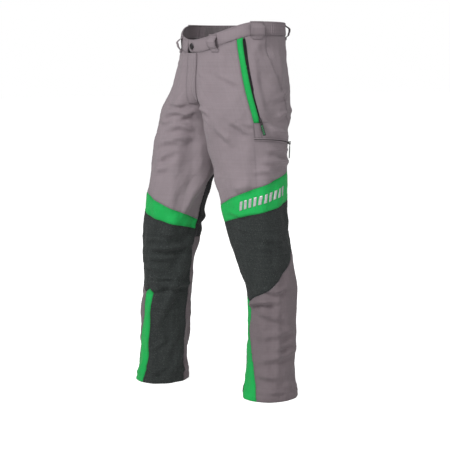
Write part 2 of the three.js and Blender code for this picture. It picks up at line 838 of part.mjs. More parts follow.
// The waist button: a tack with a domed cap, turning on its shank.
const buttonHeight = waistLow(0) + waistbandHeight / 2;
const buttonAt = onCloth(1, frontAngle(1, buttonHeight), buttonHeight);
const buttonBase = 1.2;
const cap = [
  [0, buttonBase],
  [3, buttonBase],
  [3, buttonBase + 1.6],
  [buttonRadius - 1, buttonBase + 1.6],
  [buttonRadius, buttonBase + 2.4],
  [buttonRadius, buttonBase + 3.4],
  [buttonRadius - 1.2, buttonBase + 4.2],
  [buttonRadius - 2.6, buttonBase + 4.2],
  [buttonRadius - 3.2, buttonBase + 3.5],
  [0, buttonBase + 3.5],
].map(([r, h]) => new THREE.Vector2(r, h));
add(
  "waist_button",
  geometryOf(
    solid(new THREE.LatheGeometry(cap, 18).rotateX(Math.PI).translate(buttonAt.x, buttonAt.y, buttonAt.z)),
  ),
  "darkMetal",
);
joints.push({
  name: "waist_button_turn",
  parent: "garment",
  child: "waist_button",
  at: buttonAt,
  axis: new THREE.Vector3(0, -1, 0),
  degrees: 360,
});

// The reflective strip on the left knee band.
const markMiddle = (angle) => (bandTop(angle) + bandLow(angle)) / 2;
add(
  "reflective_strip",
  panel(1, {
    from: () => 24,
    to: () => 122,
    rows: [-14, 0, 14].map((h) => (angle) => markMiddle(angle) + h),
    columns: 8,
    out: 1.5,
    thickness: 0.5,
  }),
  "reflective",
);

// ---------- the origin: the centre of the footprint ----------
const box = new THREE.Box3().setFromObject(trousers, true);
const shift = new THREE.Vector3(-(box.min.x + box.max.x) / 2, -(box.min.y + box.max.y) / 2, -box.min.z);
trousers.children.forEach((mesh) => mesh.geometry.translate(shift.x, shift.y, shift.z));
trousers.userData.joints = joints.map((j) => ({ ...j, at: j.at.clone().add(shift) }));

export default trousers;
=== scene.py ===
import json
import math

import bpy
import numpy as np
from mathutils import Matrix, Vector


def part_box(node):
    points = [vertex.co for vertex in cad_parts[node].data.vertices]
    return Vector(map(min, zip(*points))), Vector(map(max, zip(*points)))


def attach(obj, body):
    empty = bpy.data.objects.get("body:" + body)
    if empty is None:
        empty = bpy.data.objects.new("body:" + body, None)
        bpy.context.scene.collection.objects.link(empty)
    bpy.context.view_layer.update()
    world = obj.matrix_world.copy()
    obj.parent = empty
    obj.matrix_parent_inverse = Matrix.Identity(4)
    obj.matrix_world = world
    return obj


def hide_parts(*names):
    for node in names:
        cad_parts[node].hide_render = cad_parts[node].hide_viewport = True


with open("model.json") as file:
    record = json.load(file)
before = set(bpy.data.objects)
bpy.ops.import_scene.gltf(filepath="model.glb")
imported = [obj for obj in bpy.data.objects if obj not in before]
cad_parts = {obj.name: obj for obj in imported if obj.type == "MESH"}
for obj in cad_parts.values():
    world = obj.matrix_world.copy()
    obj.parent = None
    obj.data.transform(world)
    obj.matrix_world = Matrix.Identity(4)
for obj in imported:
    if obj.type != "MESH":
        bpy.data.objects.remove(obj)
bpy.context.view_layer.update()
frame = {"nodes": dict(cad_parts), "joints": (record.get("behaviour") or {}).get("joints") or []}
scene = bpy.context.scene
legName = {1: "Left", -1: "Right"}
nodeEnd = {1: "left", -1: "right"}


# small helpers
def mix(a, b, t):
    return a + (b - a) * t


def smooth(a, b, x):
    t = np.clip((x - a) / (b - a), 0.0, 1.0)
    return t * t * (3 - 2 * t)


def unit(v):
    return v / np.maximum(np.linalg.norm(v, axis=-1, keepdims=True), 1e-12)


def monotone(xs, ys):  # a curve through the knots that never overshoots them
    x, y = np.array(xs, float), np.array(ys, float)
    rate = np.diff(y) / np.diff(x)
    slope = np.zeros(len(x))
    slope[0], slope[-1] = rate[0], rate[-1]
    for i in range(1, len(x) - 1):
        a, b = rate[i - 1], rate[i]
        slope[i] = 0 if a * b <= 0 else 2 * a * b / (a + b)

    def at(where):
        where = np.asarray(where, float)
        i = np.clip(np.searchsorted(x, where) - 1, 0, len(x) - 2)
        h = x[i + 1] - x[i]
        t = (where - x[i]) / h
        r = 1 - t
        return (
            (1 + 2 * t) * r * r * y[i]
            + t * r * r * h * slope[i]
            + t * t * (3 - 2 * t) * y[i + 1]
            - t * t * r * h * slope[i + 1]
        )

    return at


# the worn shape, with the same sizes as the frame's
wornShape = {
    "crotch": 0.78,
    "waistbandHeight": 0.036,
    "frontDip": 0.047,
    "toeOut": {1: 3, -1: 17},
    "place": (-0.00002, 0.03269, 0.0),
    # height, leg centre, half width, half depth, how far back the left leg and the right leg stand
    "stations": (
        (0.0, 0.165, 0.073, 0.080, 0.020, -0.136),
        (0.1014, 0.160, 0.071, 0.078, 0.027, -0.134),
        (0.2028, 0.152, 0.071, 0.078, 0.036, -0.133),
        (0.3003, 0.142, 0.073, 0.080, 0.040, -0.127),
        (0.3978, 0.130, 0.078, 0.086, 0.025, -0.132),
        (0.4992, 0.118, 0.082, 0.089, 0.006, -0.125),
        (0.6006, 0.107, 0.087, 0.095, -0.003, -0.108),
        (0.702, 0.100, 0.092, 0.106, -0.002, -0.084),
        (0.78, 0.098, 0.098, 0.122, -0.004, -0.050),
        (0.85936, 0.052, 0.136, 0.131, 0.008, -0.020),
        (0.93104, 0.020, 0.160, 0.132, 0.008, -0.002),
        (0.97968, 0.0, 0.170, 0.134, 0.005, 0.005),
        (1.046, 0.0, 0.165, 0.132, 0.003, 0.003),
    ),
}
crotch = wornShape["crotch"]
stationHeights, *stationValues = zip(*wornShape["stations"])
centreAt, halfWidthAt, halfDepthAt, backLeft, backRight = (
    monotone(stationHeights, values) for values in stationValues
)
backAt = {1: backLeft, -1: backRight}
place = np.array(wornShape["place"])


def turnAt(side, z):
    return wornShape["toeOut"][side] * (1 - smooth(0.38 * crotch, crotch, z))


def onCloth(side, angle, z):
    a = np.radians(angle + turnAt(side, z))
    x = centreAt(z) + halfWidthAt(z) * np.sin(a)
    middle = (backLeft(z) + backRight(z)) / 2
    share = mix(1, smooth(0, 0.1, abs(x)), smooth(0.69 * crotch, 1.01 * crotch, z))
    back = middle + (backAt[side](z) - middle) * share
    return np.stack([side * x, back - halfDepthAt(z) * np.cos(a), z + 0 * x], -1)


def outwards(side, angle, z):
    around = onCloth(side, angle + 0.5, z) - onCloth(side, angle - 0.5, z)
    up = onCloth(side, angle, z + 0.001) - onCloth(side, angle, z - 0.001)
    return unit(np.cross(around, up)) * side


def spanOf(side, angle, z):  # metres of cloth to a degree
    return np.linalg.norm(onCloth(side, angle + 0.5, z) - onCloth(side, angle - 0.5, z), axis=-1)


def metresPerDegree(z):  # the leg's mean, whatever the angle
    return np.radians(1) * (halfWidthAt(z) + halfDepthAt(z)) / 2


def frontAngle(side, z, x=0.0):
    share = np.clip((x - centreAt(z)) / halfWidthAt(z), -1, 1)
    return np.degrees(np.arcsin(share)) - turnAt(side, z)


def backAngle(side, z):
    return 180 - frontAngle(side, z) - 2 * turnAt(side, z)


# the pattern: where one panel ends and the next begins
pattern = {
    "outseam": 150.0,
    "innerBack": 228.0,
    "thighSeam": 62.0,
    "cargoLine": 0.71526,
    "kneeTop": 0.429,
    "stripeTop": 0.2699,
    "stripePeak": 0.011,
    "bandTop": (0.555, 0.00055),
    "bandLow": (0.5, 0.00034),
    "innerSeamEnd": 0.624,
    "seamGap": 0.00016,
    "hemLift": 0.0004,
}
outseam, innerBack, thighSeam = pattern["outseam"], pattern["innerBack"], pattern["thighSeam"]
cargoLine, kneeTop, stripeTop = pattern["cargoLine"], pattern["kneeTop"], pattern["stripeTop"]
sweepHeight = monotone((-60, -14, 8, 40, 78, 117, 150), (0.2679, 0.2699, 0.2829, 0.3009, 0.3399, 0.3829, kneeTop))
seatEdge = monotone(
    (0.7, cargoLine, 0.755, 0.805, 0.86, 0.915, 0.955, 1.036), (150.2, 150, 136, 121, 107, 95, 88.5, 86)
)


def bandTop(angle):
    return pattern["bandTop"][0] + pattern["bandTop"][1] * angle


def bandLow(angle):
    return pattern["bandLow"][0] + pattern["bandLow"][1] * angle


def stripeInner(z):
    return mix(-30, -40, smooth(0, 0.0936, z))


def stripeOuter(z):
    return np.maximum(25 - 200 * z, -14)


def stripeHigh(angle):  # the green stripe comes to a low point
    share = (angle + 40) / 26
    return stripeTop + pattern["stripePeak"] * np.clip(np.minimum(share / 0.36, (1 - share) / 0.64), 0, 1)


def waistLow(angle):
    return 1.0 - wornShape["frontDip"] * (1 - smooth(0, 80, abs(angle)))


def waistTop(angle):
    return waistLow(angle) + wornShape["waistbandHeight"]


def innerSeam(side, z):
    low = mix(innerBack - 360, -90, np.clip((z - pattern["innerSeamEnd"]) / (crotch - pattern["innerSeamEnd"]), 0, 1))
    return np.where(z >= crotch, frontAngle(side, z), low)


def backSeam(side, z):
    return np.where(z >= crotch, backAngle(side, z), innerSeam(side, z) + 360)


# the zips follow circular arcs, so their sliders can turn about one axis
zipCut = {
    "gap": 0.0028,
    "narrowGap": 0.0024,
    "tape": 0.0041,
    "depth": -0.0002,
    "flyDepth": -0.0023,
    "weltWidth": 0.0165,
    "thighBottom": 0.7653,
    "thighTop": 0.988,
    "flyBottom": 0.852,
    "flyTop": 0.947,
}


def arcThrough(start, middle, end, normal):
    a, b = middle - start, end - start
    cross = np.cross(a, b)
    centre = np.cross(b * (a @ a) - a * (b @ b), cross) / (2 * (cross @ cross)) + start
    axis = unit(cross)
    spoke, last = start - centre, end - centre
    total = math.acos(min(1.0, (spoke @ last) / (spoke @ spoke)))
    half = np.array(Matrix.Rotation(-total / 2, 3, Vector(axis)) @ Vector(normal))
    forward = unit(np.cross(axis, spoke))
    up = unit(half - forward * (half @ forward))
    return {
        "centre": centre, "axis": axis, "total": total, "spoke": spoke,
        "forward": forward, "up": up, "across": np.cross(forward, up),
    }


def onArc(arc, share, x=0.0, out=0.0):
    rows = []
    for s in np.atleast_1d(share):
        turn = np.array(Matrix.Rotation(arc["total"] * s, 3, Vector(arc["axis"])))
        rows.append(turn @ (arc["spoke"] + arc["across"] * x + arc["up"] * out) + arc["centre"])
    return np.array(rows)


def arcFacing(arc, share):
    return np.array(
        [np.array(Matrix.Rotation(arc["total"] * s, 3, Vector(arc["axis"]))) @ arc["up"] for s in np.atleast_1d(share)]
    )


def traceOn(side, arc):
    points = onArc(arc, np.linspace(0, 1, 81))
    z = points[:, 2]
    back = onCloth(side, 90 - turnAt(side, z), z)[:, 1]
    x = (side * points[:, 0] - centreAt(z)) / halfWidthAt(z)
    y = (back - points[:, 1]) / halfDepthAt(z)
    return np.degrees(np.arctan2(x, y)) - turnAt(side, z), z


def offCloth(side, angle, z, out):
    return onCloth(side, angle, z) + outwards(side, angle, z) * out


zips = {}
for side in (1, -1):
    low, high = zipCut["thighBottom"], zipCut["thighTop"]
    middle = (low + high) / 2
    thigh = arcThrough(
        onCloth(side, 75, low), onCloth(side, 62, middle), onCloth(side, 61, high), outwards(side, 64, middle)
    )
    cargo = arcThrough(
        offCloth(side, outseam - 3, cargoLine - 0.009, 0.0006),
        offCloth(side, 106, cargoLine + 0.002, 0.0006),
        offCloth(side, 64, cargoLine + 0.007, 0.0006),
        outwards(side, 106, cargoLine),
    )
    thighAngles, thighHeights = traceOn(side, thigh)
    cargoAngles, cargoHeights = traceOn(side, cargo)
    order, cargoOrder = np.argsort(thighHeights), np.argsort(cargoAngles)
    zips[side] = {
        "thigh": thigh, "cargo": cargo,
        "heights": thighHeights[order], "angles": thighAngles[order],
        "cargoAngles": cargoAngles[cargoOrder], "cargoHeights": cargoHeights[cargoOrder],
    }


def stretched(at, xs, ys):  # a look-up that runs on in a straight line past both ends
    at = np.asarray(at, float)
    low = ys[0] + (at - xs[0]) * (ys[1] - ys[0]) / (xs[1] - xs[0])
    high = ys[-1] + (at - xs[-1]) * (ys[-1] - ys[-2]) / (xs[-1] - xs[-2])
    return np.where(at < xs[0], low, np.where(at > xs[-1], high, np.interp(at, xs, ys)))


def zipAngle(side, z):
    z = np.maximum(z, zipCut["thighBottom"])
    return stretched(z, zips[side]["heights"], zips[side]["angles"])


def cargoHeight(side, angle):
    return stretched(angle, zips[side]["cargoAngles"], zips[side]["cargoHeights"])


def nearZip(side, z, length):
    angle = zipAngle(side, z)
    return length / spanOf(side, angle, np.maximum(z, zipCut["thighBottom"]))


def weltBack(side, z):
    return zipAngle(side, z) - nearZip(side, z, zipCut["gap"])


def weltFront(side, z):
    return weltBack(side, z) - nearZip(side, z, zipCut["weltWidth"])


# folds and creases, as polylines of (angle, height) with how proud and how wide each is, in millimetres
folds = {
    1: (
        (4.0, 9, ((2, 0.752), (27, 0.712))),
        (3.4, 10, ((-38, 0.864), (-15, 0.831))),
        (4.2, 7, ((43, 0.753), (67, 0.726))),
        (4.6, 7, ((48, 0.767), (89, 0.752), (137, 0.721))),
        (4.2, 6, ((76, 0.747), (112, 0.73), (147, 0.712))),
        (3.4, 8, ((75, 0.699), (105, 0.691), (146, 0.692))),
        (3.4, 9, ((70, 0.67), (97, 0.66), (145, 0.654))),
        (3.0, 10, ((74, 0.64), (112, 0.62))),
        (3.6, 12, ((14, 0.584), (60, 0.602))),
        (3.0, 7, ((102, 0.778), (130, 0.795))),
        (1.8, 8, ((20, 0.9), (52, 0.868))),
        (3.0, 10, ((49, 0.458), (80, 0.447), (109, 0.428))),
        (2.6, 9, ((42, 0.437), (98, 0.409))),
        (6.0, 6, ((-16, 0.259), (10, 0.27), (32, 0.276), (63, 0.274))),
        (3.4, 8, ((21, 0.248), (77, 0.225))),
        (2.6, 9, ((20, 0.176), (70, 0.188), (116, 0.193))),
        (3.0, 9, ((17, 0.11), (69, 0.124), (137, 0.135))),
        (2.6, 8, ((24, 0.075), (71, 0.064))),
        (2.6, 8, ((81, 0.045), (135, 0.032))),
        (3.2, 12, ((170, 0.64), (215, 0.61))),
        (3.4, 11, ((165, 0.52), (220, 0.5))),
        (3.2, 10, ((165, 0.38), (222, 0.36))),
        (3.6, 12, ((150, 0.8), (190, 0.79))),
        (3.0, 6, ((-40, 0.815), (-22, 0.8), (-6, 0.775))),
        (2.2, 6, ((-30, 0.79), (-12, 0.762))),
        (2.6, 6, ((28, 0.771), (52, 0.748))),
        (2.0, 7, ((-20, 0.93), (8, 0.885))),
        (2.6, 6, ((96, 0.83), (128, 0.852))),
        (2.2, 5, ((80, 0.712), (118, 0.703))),
        (2.4, 6, ((58, 0.632), (100, 0.645))),
        (2.0, 6, ((-10, 0.522), (22, 0.514), (54, 0.524))),
        (2.0, 6, ((-6, 0.482), (36, 0.468))),
        (3.2, 5, ((30, 0.312), (62, 0.302), (92, 0.31))),
        (2.0, 6, ((60, 0.148), (112, 0.158))),
        (2.2, 5, ((50, 0.03), (88, 0.024))),
    ),
    -1: (
        (3.4, 6, ((-44, 0.822), (-22, 0.812), (2, 0.818))),
        (2.6, 6, ((-48, 0.8), (-30, 0.768))),
        (2.6, 6, ((-30, 0.772), (-8, 0.764), (14, 0.768))),
        (2.2, 6, ((-50, 0.7), (-24, 0.706))),
        (2.4, 5, ((-70, 0.425), (-40, 0.43), (-12, 0.424))),
        (2.6, 5, ((-88, 0.376), (-52, 0.37), (-18, 0.378))),
        (2.6, 5, ((-96, 0.316), (-60, 0.312), (-24, 0.322))),
        (2.0, 7, ((-80, 0.22), (-44, 0.236))),
        (2.0, 7, ((-84, 0.13), (-50, 0.1))),
        (2.4, 6, ((-70, 0.03), (-34, 0.05))),
        (4.2, 9, ((-50, 0.782), (-26, 0.793), (-1, 0.781))),
        (4.2, 9, ((-58, 0.737), (-36, 0.754), (-17, 0.746))),
        (4.0, 9, ((-62, 0.718), (-38, 0.719), (-4, 0.703))),
        (3.4, 9, ((-40, 0.685), (-10, 0.658))),
        (3.0, 9, ((-39, 0.64), (-10, 0.627))),
        (3.4, 9, ((-92, 0.438), (-57, 0.452))),
        (4.2, 8, ((-127, 0.414), (-75, 0.404), (-23, 0.404))),
        (3.4, 9, ((-59, 0.339), (-18, 0.351))),
        (4.4, 8, ((-140, 0.294), (-92, 0.293), (-31, 0.301))),
        (3.6, 7, ((-83, 0.287), (-25, 0.277))),
        (2.4, 8, ((-94, 0.058), (-46, 0.019))),
        (2.4, 8, ((-149, 0.044), (-110, 0.023))),
        (2.0, 10, ((88, 0.735), (112, 0.725), (146, 0.716))),
        (2.0, 10, ((70, 0.65), (110, 0.645), (146, 0.64))),
        (3.0, 10, ((30, 0.45), (80, 0.44), (120, 0.425))),
        (3.4, 9, ((20, 0.265), (60, 0.272), (90, 0.26))),
        (3.0, 10, ((30, 0.12), (90, 0.13))),
        (3.2, 12, ((165, 0.64), (215, 0.61))),
        (3.4, 11, ((165, 0.5), (220, 0.48))),
        (3.6, 12, ((150, 0.8), (190, 0.79))),
    ),
}
relief = {
    "cell": 0.003,
    "degrees": 2.0,
    "waves": 60,
    "waveDepth": 0.0014,
    "crumple": 0.0006,
    "foldScale": 2.2,
    "seed": 11,
}
heightsOfRelief = np.arange(0, 1.05, relief["cell"])
anglesOfRelief = np.arange(0, 360, relief["degrees"])
anglesGrid, heightsGrid = np.meshgrid(anglesOfRelief, heightsOfRelief)


def foldRelief(side):
    total = np.zeros_like(heightsGrid)
    scale = metresPerDegree(heightsGrid)
    for proud, width, knots in folds[side]:
        proud, width = proud / 1000 * relief["foldScale"], width / 1000
        middle = sum(k[0] for k in knots) / len(knots)
        u = ((anglesGrid - middle + 180) % 360 - 180) * scale
        nearest = np.full(u.shape, 9.0)
        signed, share = np.zeros_like(u), np.zeros_like(u)
        ends = [((a - middle) * float(metresPerDegree(z)), z) for a, z in knots]
        lengths = [math.hypot(u1 - u0, z1 - z0) for (u0, z0), (u1, z1) in zip(ends, ends[1:])]
        gone = 0.0
        for (u0, z0), (u1, z1), length in zip(ends, ends[1:], lengths):
            su, sz = (u1 - u0) / length, (z1 - z0) / length
            t = np.clip((u - u0) * su + (heightsGrid - z0) * sz, 0, length)
            du, dz = u - u0 - t * su, heightsGrid - z0 - t * sz
            distance = np.hypot(du, dz)
            closer = distance < nearest
            nearest = np.where(closer, distance, nearest)
            signed = np.where(closer, np.copysign(distance, su * dz - sz * du), signed)
            share = np.where(closer, (gone + t) / sum(lengths), share)
            gone += length
        taper = 0.25 + 0.75 * smooth(0, 0.3, share) * smooth(0, 0.3, 1 - share)
        ridge = np.exp(-((signed / width) ** 2))
        valley = np.exp(-(((signed + 1.7 * width) / (1.25 * width)) ** 2))
        total += proud * taper * (ridge - 0.6 * valley)
    return total


def waveRelief(side):  # the small unevenness that no fold accounts for
    dice = np.random.RandomState(relief["seed"] + side)
    total = np.zeros_like(heightsGrid)
    for i in range(relief["waves"]):
        turns = dice.randint(1, 12)
        along = dice.uniform(15, 120)
        phase = dice.uniform(0, 2 * math.pi)
        total += np.cos(np.radians(anglesGrid) * turns * dice.choice((-1, 1)) + heightsGrid * along + phase) / (
            1 + (along / 60) ** 2
        )
    total *= relief["waveDepth"] / total.std()
    fine = dice.standard_normal(heightsGrid.shape)
    for _ in range(3):
        fine = (fine + np.roll(fine, 1, 1) + np.roll(fine, -1, 1) + np.roll(fine, 1, 0) + np.roll(fine, -1, 0)) / 5
    return total + fine * relief["crumple"] / fine.std() * 0.5


def calmShare(side, angle, z):  # 1 where the cloth may move, 0 where a zip, fly or waistband holds it flat
    angle = (angle + 180) % 360 - 180
    point = onCloth(side, angle, z)
    calm = 1 - smooth(-0.034, -0.006, z - waistLow(angle))
    away = abs(angle - zipAngle(side, z)) * spanOf(side, angle, z)
    below = np.maximum(zipCut["thighBottom"] - 0.006 - z, 0)
    calm = calm * smooth(0.013, 0.034, np.hypot(away, below))
    past = np.maximum(np.maximum(62 - angle, angle - 149), 0) * 0.0016
    calm = calm * smooth(0.009, 0.024, np.hypot(past, z - cargoHeight(side, angle)))
    for pullAngle, pullHeight in ((78, 0.745), (148, 0.684), (70, 0.69)):
        reach = np.hypot((angle - pullAngle) * 0.0016, (z - pullHeight) * 0.8)
        calm = calm * mix(0.25, 1, smooth(0.012, 0.03, reach))
    high = smooth(crotch - 0.05, crotch + 0.01, z)
    calm = calm * mix(1, smooth(0.002, 0.03, abs(point[..., 0])), high)
    front = (abs(angle) < 120) & (z > 0.805)
    calm = np.where(front, calm * smooth(0.024, 0.045, abs(point[..., 0])), calm)
    return calm * mix(0.55, 1, smooth(0, 0.04, z))


# a cloth simulation of each leg: cloth a little larger than the body it is pinned round, so it buckles
drape = {
    "rows": 118, "columns": 62, "frames": 26, "growth": 0.045, "hold": 0.05, "bending": 0.35,
    "stiffness": 16, "cap": 0.0075, "quality": 6, "mass": 0.25, "damping": 2.0,
}


def drapeGrid(side):
    s, t = np.meshgrid(np.linspace(0, 1, drape["rows"]), np.linspace(0, 1, drape["columns"]), indexing="ij")
    angle, z = np.zeros_like(s), np.zeros_like(s)
    for _ in range(12):
        z = mix(0.004, waistLow((angle + 180) % 360 - 180) - 0.004, s)
        angle = mix(innerSeam(side, z) + 0.4, backSeam(side, z) - 0.4, t)
    return angle, z


def startDrape(side):
    angle, z = drapeGrid(side)
    rows, columns = angle.shape
    points = offCloth(side, angle, z, 0.0).reshape(-1, 3)
    index = np.arange(rows * columns).reshape(rows, columns)
    faces = np.stack([index[:-1, :-1], index[:-1, 1:], index[1:, 1:], index[1:, :-1]], -1).reshape(-1, 4)
    mesh = bpy.data.meshes.new("drapedCloth" + legName[side])
    mesh.from_pydata(points.tolist(), [], faces.tolist())
    cloth = bpy.data.objects.new(mesh.name, mesh)
    scene.collection.objects.link(cloth)
    held = cloth.vertex_groups.new(name="held")
    calm = calmShare(side, angle, z)
    weight = np.maximum(drape["hold"], 1 - smooth(0.0, 0.45, calm))
    weight[0], weight[-1], weight[:, 0], weight[:, -1] = 1, 1, 1, 1
    for i, w in enumerate(weight.ravel()):
        held.add([i], float(w), "REPLACE")
    cover = cloth.modifiers.new("drape", "CLOTH")
    cut = cover.settings
    cut.quality, cut.mass, cut.air_damping = drape["quality"], drape["mass"], drape["damping"]
    cut.tension_stiffness = cut.compression_stiffness = cut.shear_stiffness = drape["stiffness"]
    cut.bending_stiffness = drape["bending"]
    cut.shrink_min = -drape["growth"]
    cut.vertex_group_mass = "held"
    cut.pin_stiffness = 1.0
    cover.collision_settings.use_collision = False
    cover.collision_settings.use_self_collision = False
    return cloth, points, outwards(side, angle, z).reshape(-1, 3)


def readDrape(side, cloth, points, normals):
    shown = cloth.evaluated_get(bpy.context.evaluated_depsgraph_get())
    now = np.zeros(len(points) * 3)
    shown.data.vertices.foreach_get("co", now)
    lift = ((now.reshape(-1, 3) - points) * normals).sum(1).reshape(drape["rows"], drape["columns"])
    padded = np.pad(lift, 1, mode="edge")
    lift = (padded[1:-1, 1:-1] * 2 + padded[:-2, 1:-1] + padded[2:, 1:-1] + padded[1:-1, :-2] + padded[1:-1, 2:]) / 6
    lift = drape["cap"] * np.tanh(lift / drape["cap"])
    start, end = innerSeam(side, heightsGrid), backSeam(side, heightsGrid)
    t = ((anglesGrid - start) % 360) / (end - start)
    angle = start + t * (end - start)
    s = (heightsGrid - 0.004) / (waistLow((angle + 180) % 360 - 180) - 0.008)
    inside = (t <= 1) & (s >= 0) & (s <= 1)
    return np.where(inside, sampleGrid(lift, s * (drape["rows"] - 1), t * (drape["columns"] - 1)), 0)


def sampleGrid(grid, i, j):
    rows, columns = grid.shape
    i, j = np.clip(i, 0, rows - 1.001), np.clip(j, 0, columns - 1.001)
    a, b = i.astype(int), j.astype(int)
    f, g = i - a, j - b
    return (
        grid[a, b] * (1 - f) * (1 - g) + grid[a + 1, b] * f * (1 - g)
        + grid[a, b + 1] * (1 - f) * g + grid[a + 1, b + 1] * f * g
    )


reliefOf = {side: foldRelief(side) + waveRelief(side) for side in (1, -1)}
print("draping the cloth over", drape["frames"], "frames")
draped = {side: startDrape(side) for side in (1, -1)}
for step in range(1, drape["frames"] + 1):
    scene.frame_set(step)
for side, (cloth, points, normals) in draped.items():
    lift = readDrape(side, cloth, points, normals)
    print("  leg", legName[side], "moved up to", round(float(abs(lift).max()) * 1000, 1), "mm")
    reliefOf[side] = reliefOf[side] + lift
    bpy.data.objects.remove(cloth)
scene.frame_set(1)
for side in (1, -1):
    field = reliefOf[side] * calmShare(side, anglesGrid, heightsGrid)
    reliefOf[side] = np.concatenate([field, field[:, :1]], 1)  # one more column closes the circle


def reliefAt(side, angle, z):
    return sampleGrid(reliefOf[side], z / relief["cell"], (angle % 360) / relief["degrees"])


# shells of cloth
def shares(length, pitch, sewn=(True, True)):
    inner = np.linspace(0, 1, max(2, round(length / pitch)) + 1)
    ends = np.array([0.0009, 0.0022]) / length
    return np.unique(np.concatenate([inner, ends if sewn[0] else [], 1 - ends if sewn[1] else []]))


seamLook = {"dip": 0.0011, "reach": 0.003, "pucker": 0.00045, "puckerLength": 0.0105, "puckerReach": 0.006}


def patch(side, left, right, low, high, pitch=0.004, rows=None, columns=None, out=0.0, gaps=(1, 1, 1, 1),
          sewn=(1, 1, 1, 1), folded=1.0, keepSide=True, lift=None):
    z = float(low(0.0) + high(0.0)) / 2
    for _ in range(4):
        angle = float(left(z) + right(z)) / 2
        z = float(low(angle) + high(angle)) / 2
    if rows is None:
        rows = shares(float(high(angle) - low(angle)), pitch, (sewn[2], sewn[3]))
    if columns is None:
        wide = float(right(z) - left(z)) * float(spanOf(side, angle, z))
        columns = shares(wide, pitch, (sewn[0], sewn[1]))
    s, t = np.meshgrid(rows, columns, indexing="ij")
    angle, z = angle + 0 * s, z + 0 * s
    trim = pattern["seamGap"] / 2
    for _ in range(18):
        span = spanOf(side, angle, z)
        a, b = left(z) + gaps[0] * trim / span, right(z) - gaps[1] * trim / span
        angle = mix(a, b, t)
        below, above = low(angle) + gaps[2] * trim, high(angle) - gaps[3] * trim
        z = mix(below, above, s)
    wide, tall = (b - a) * span, above - below
    wobble = 2 * math.pi / seamLook["puckerLength"]
    bump, near = np.zeros_like(z), np.zeros_like(z)
    edges = ((t * wide, z), ((1 - t) * wide, z), (s * tall, angle * span), ((1 - s) * tall, angle * span))
    for flag, (away, along) in zip(sewn, edges):
        if flag:
            bump -= seamLook["dip"] * flag * (1 - smooth(0, seamLook["reach"], away))
            bump += seamLook["pucker"] * np.sin(along * wobble + 2.5 * np.sin(along * 31)) * np.exp(
                -away / seamLook["puckerReach"]
            )
            # nearSeam is 1 at a sewn edge and fades over a few millimetres; the cloth finishes darken there as painted
            # seam shade and wear
            near = np.maximum(near, np.exp(-away / 0.004))
    raised = out + bump + folded * reliefAt(side, angle, z)
    if lift is not None:
        raised = raised + lift(angle, z)
    normals = outwards(side, angle, z)
    points = onCloth(side, angle, z) + normals * raised[..., None]
    if keepSide:
        points[..., 0] = side * np.maximum(side * points[..., 0], pattern["seamGap"] / 2)
    return {
        "points": points + place, "normals": normals, "near": near, "turned": side < 0,
        "uv": np.stack([angle * metresPerDegree(z), z], -1),
    }


def newMesh(name, points, faces, flat=None, near=None, uv=None):
    mesh = bpy.data.meshes.new(name)
    mesh.from_pydata(np.asarray(points).tolist(), [], [list(f) for f in faces])
    mesh.validate()
    soft = np.ones(len(mesh.polygons), bool)
    if flat is not None:
        soft[flat:] = False
    mesh.polygons.foreach_set("use_smooth", soft)
    if near is not None:
        mesh.attributes.new("nearSeam", "FLOAT", "POINT").data.foreach_set("value", near.astype(np.float32))
    if uv is not None:
        corner = np.zeros(len(mesh.loops), int)
        mesh.loops.foreach_get("vertex_index", corner)
        mesh.uv_layers.new(name="clothUv").data.foreach_set("uv", uv[corner].astype(np.float32).ravel())
    mesh.update()
    piece = bpy.data.objects.new(name, mesh)
    scene.collection.objects.link(piece)
    return piece


def closeShell(name, patches, thickness):  # welds the patches and gives them a back and a rim
    points, normals, near, uv, quads, start = [], [], [], [], [], 0
    for p in patches:
        rows, columns = p["near"].shape
        index = start + np.arange(rows * columns).reshape(rows, columns)
        quad = np.stack([index[:-1, :-1], index[:-1, 1:], index[1:, 1:], index[1:, :-1]], -1).reshape(-1, 4)
        quads.append(quad[:, ::-1] if p["turned"] else quad)
        for store, key, size in ((points, "points", 3), (normals, "normals", 3), (uv, "uv", 2)):
            store.append(p[key].reshape(-1, size))
        near.append(p["near"].ravel())
        start += rows * columns
    points, normals, near, uv, quads = (np.concatenate(x) for x in (points, normals, near, uv, quads))
    _, first, same = np.unique(np.round(points, 5), axis=0, return_index=True, return_inverse=True)
    quads = same.reshape(-1)[quads]
    points, normals, near, uv = points[first], normals[first], near[first], uv[first]
    n = len(points)
    a, b = quads, np.roll(quads, -1, 1)
    keys, back = (a * n + b).ravel(), (b * n + a).ravel()
    loose = ~np.isin(keys, back) & (keys != back)
    ea, eb = a.ravel()[loose], b.ravel()[loose]
    rim = np.stack([eb, ea, ea + n, eb + n], -1)
    faces = [tuple(dict.fromkeys(q)) for q in quads.tolist()]
    faces += [tuple(x + n for x in f[::-1]) for f in faces]
    smoothFaces = len(faces)
    faces += [tuple(q) for q in rim.tolist()]
    piece = newMesh(
        name, np.concatenate([points, points - normals * thickness]), faces, smoothFaces,
        np.concatenate([near, near]), np.concatenate([uv, uv]),
    )
    x, y = uv[quads][..., 0], uv[quads][..., 1]
    area = 0.5 * abs((x * np.roll(y, -1, 1) - y * np.roll(x, -1, 1)).sum(1)).sum()
    wide, tall = uv.max(0) - uv.min(0)
    piece["cutSize"] = [round(float(wide), 3), round(float(tall), 3), round(float(area), 4)]
    return piece


def dress(piece, finish, nodes=(), body="garment"):
    piece.data.materials.clear()
    piece.data.materials.append(finish)
    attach(piece, body)
    if nodes:
        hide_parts(*nodes)
    return piece


# finishes
def paint(r, g, b):
    return tuple((c / 255 / 12.92 if c < 10.3 else ((c / 255 + 0.055) / 1.055) ** 2.4) for c in (r, g, b)) + (1.0,)


